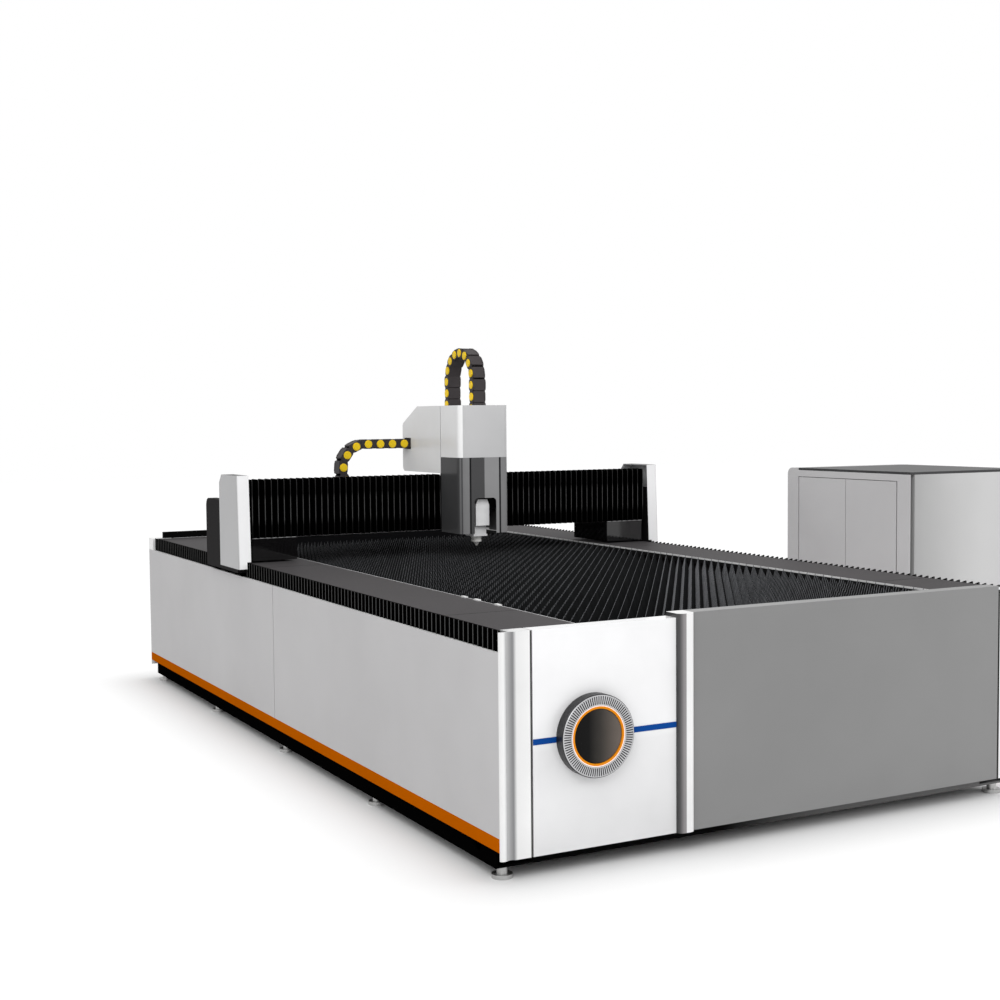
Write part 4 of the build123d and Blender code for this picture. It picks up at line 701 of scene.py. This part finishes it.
# Floor, light and camera
studio = {
    "ambient": 0.78, "floorColour": "#f2f2f2", "floorSize": 60, "floorGlow": 0.92, "floorWhite": 1.06,
    "shadeFrom": 0.0, "shadeTo": 0.4, "standing": ["base_frame", "cabinet_frame"],
    "aim": (0, 0, 0.6),
    "lamps": [
        {"name": "keyBox", "place": (-5.5, -7.5, 6.0), "size": (5.0, 4.0), "watts": 220},
        {"name": "rightBox", "place": (6.5, -6.0, 4.0), "size": (3.5, 4.0), "watts": 140},
        {"name": "topBox", "place": (0.0, 1.0, 7.5), "size": (5.0, 6.0), "watts": 120},
        {"name": "bedBox", "place": (-0.9, -1.6, 2.7), "aim": (-0.6, 0.6, 1.25), "size": (1.8, 1.0),
         "watts": 21},
    ],
}
cameraView = {
    "place": (-3.9086, -6.1189, 1.4764), "yawDeg": 27.7907, "pitchDeg": 3.2628, "rollDeg": 0.4974,
    "focalPx": 1457.84, "imagePx": 1000, "sensorMm": 36.0, "clipEnd": 100,
}


def seenDirectly(tree):  # 1 where the eye, a mirror or glass looks, 0 for scattered light
    path = addNode(tree, "ShaderNodeLightPath")
    eyes = addNode(
        tree, "ShaderNodeMath", {"operation": "MAXIMUM"},
        {0: path.outputs["Is Camera Ray"], 1: path.outputs["Is Glossy Ray"]})
    return addNode(
        tree, "ShaderNodeMath", {"operation": "MAXIMUM"},
        {0: eyes.outputs[0], 1: path.outputs["Is Transmission Ray"]}).outputs[0]


def makeWorld():
    world = bpy.data.worlds.new("whiteStudio")
    world.use_nodes = True
    tree = world.node_tree
    tree.nodes.clear()
    level = addNode(
        tree, "ShaderNodeMapRange", {"To Min": studio["ambient"], "To Max": 1.0}, {"Value": seenDirectly(tree)})
    back = addNode(tree, "ShaderNodeBackground", {"Color": (1, 1, 1, 1)}, {"Strength": level.outputs["Result"]})
    addNode(tree, "ShaderNodeOutputWorld", {}, {"Surface": back.outputs[0]})
    scene.world = world


def clearOfMachine(tree):  # 0 on the floor under the machine, 1 well away from it: the floor's white glow fades out towards the machine, a painted shadow round its footprint over the real one
    place = addNode(tree, "ShaderNodeTexCoord")
    nearest = None
    for name in studio["standing"]:
        low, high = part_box(name)
        middle, half = (low + high) / 2, (high - low) / 2
        offset = addNode(
            tree, "ShaderNodeVectorMath", {"operation": "SUBTRACT", 1: (middle.x, middle.y, 0)},
            {0: place.outputs["Object"]})
        spread = addNode(tree, "ShaderNodeVectorMath", {"operation": "ABSOLUTE"}, {0: offset.outputs[0]})
        beyond = addNode(
            tree, "ShaderNodeVectorMath", {"operation": "SUBTRACT", 1: (half.x, half.y, 0)},
            {0: spread.outputs[0]})
        outside = addNode(
            tree, "ShaderNodeVectorMath", {"operation": "MAXIMUM", 1: (0, 0, 0)}, {0: beyond.outputs[0]})
        distance = addNode(tree, "ShaderNodeVectorMath", {"operation": "LENGTH"}, {0: outside.outputs[0]})
        reach = distance.outputs["Value"]
        if nearest:
            reach = addNode(tree, "ShaderNodeMath", {"operation": "MINIMUM"}, {0: nearest, 1: reach}).outputs[0]
        nearest = reach
    return addNode(
        tree, "ShaderNodeMapRange", {"From Min": studio["shadeFrom"], "From Max": studio["shadeTo"]},
        {"Value": nearest}).outputs["Result"]


def makeFloor():
    half = studio["floorSize"] / 2
    mesh = bpy.data.meshes.new("studioFloor")
    corners = [(-half, -half, 0), (half, -half, 0), (half, half, 0), (-half, half, 0)]
    mesh.from_pydata(corners, [], [[0, 1, 2, 3]])
    material = bpy.data.materials.new("paleFloor")
    material.use_nodes = True
    tree = material.node_tree
    tree.nodes.clear()
    paint = addNode(tree, "ShaderNodeBsdfDiffuse", {"Color": linear(studio["floorColour"])})
    white = addNode(tree, "ShaderNodeEmission", {"Color": (1, 1, 1, 1), "Strength": studio["floorWhite"]})
    glow = addNode(
        tree, "ShaderNodeMath", {"operation": "MULTIPLY", 1: studio["floorGlow"]}, {0: clearOfMachine(tree)})
    share = addNode(
        tree, "ShaderNodeMath", {"operation": "MULTIPLY"}, {0: seenDirectly(tree), 1: glow.outputs[0]})
    both = addNode(
        tree, "ShaderNodeMixShader", {}, {0: share.outputs[0], 1: paint.outputs[0], 2: white.outputs[0]})
    addNode(tree, "ShaderNodeOutputMaterial", {}, {"Surface": both.outputs[0]})
    mesh.materials.append(material)
    floor = bpy.data.objects.new("studioFloor", mesh)
    scene.collection.objects.link(floor)


def makeLamps():
    for lamp in studio["lamps"]:
        light = bpy.data.lights.new(lamp["name"], "AREA")
        light.shape = "RECTANGLE"
        light.size, light.size_y = lamp["size"]
        light.energy = lamp["watts"]
        holder = bpy.data.objects.new(lamp["name"], light)
        holder.location = lamp["place"]
        aim = Vector(lamp.get("aim", studio["aim"])) - holder.location
        holder.rotation_euler = aim.to_track_quat("-Z", "Y").to_euler()
        holder.visible_camera = False
        scene.collection.objects.link(holder)


def makeCamera():
    yaw, pitch, roll = (math.radians(cameraView[key]) for key in ("yawDeg", "pitchDeg", "rollDeg"))
    forward = Vector((math.sin(yaw) * math.cos(pitch), math.cos(yaw) * math.cos(pitch), -math.sin(pitch)))
    right = Vector((math.cos(yaw), -math.sin(yaw), 0))
    down = forward.cross(right)
    imageRight = right * math.cos(roll) + down * math.sin(roll)
    imageDown = down * math.cos(roll) - right * math.sin(roll)
    lens = bpy.data.cameras.new("photoCamera")
    lens.sensor_width = cameraView["sensorMm"]
    lens.lens = cameraView["focalPx"] * cameraView["sensorMm"] / cameraView["imagePx"]
    lens.clip_end = cameraView["clipEnd"]
    camera = bpy.data.objects.new("photoCamera", lens)
    axes = Matrix((imageRight, -imageDown, -forward)).transposed()
    camera.matrix_world = Matrix.Translation(Vector(cameraView["place"])) @ axes.to_4x4()
    scene.collection.objects.link(camera)
    scene.camera = camera


makeWorld()
makeFloor()
makeLamps()
makeCamera()
scene.view_settings.view_transform = "Standard"
print("studio and camera set")
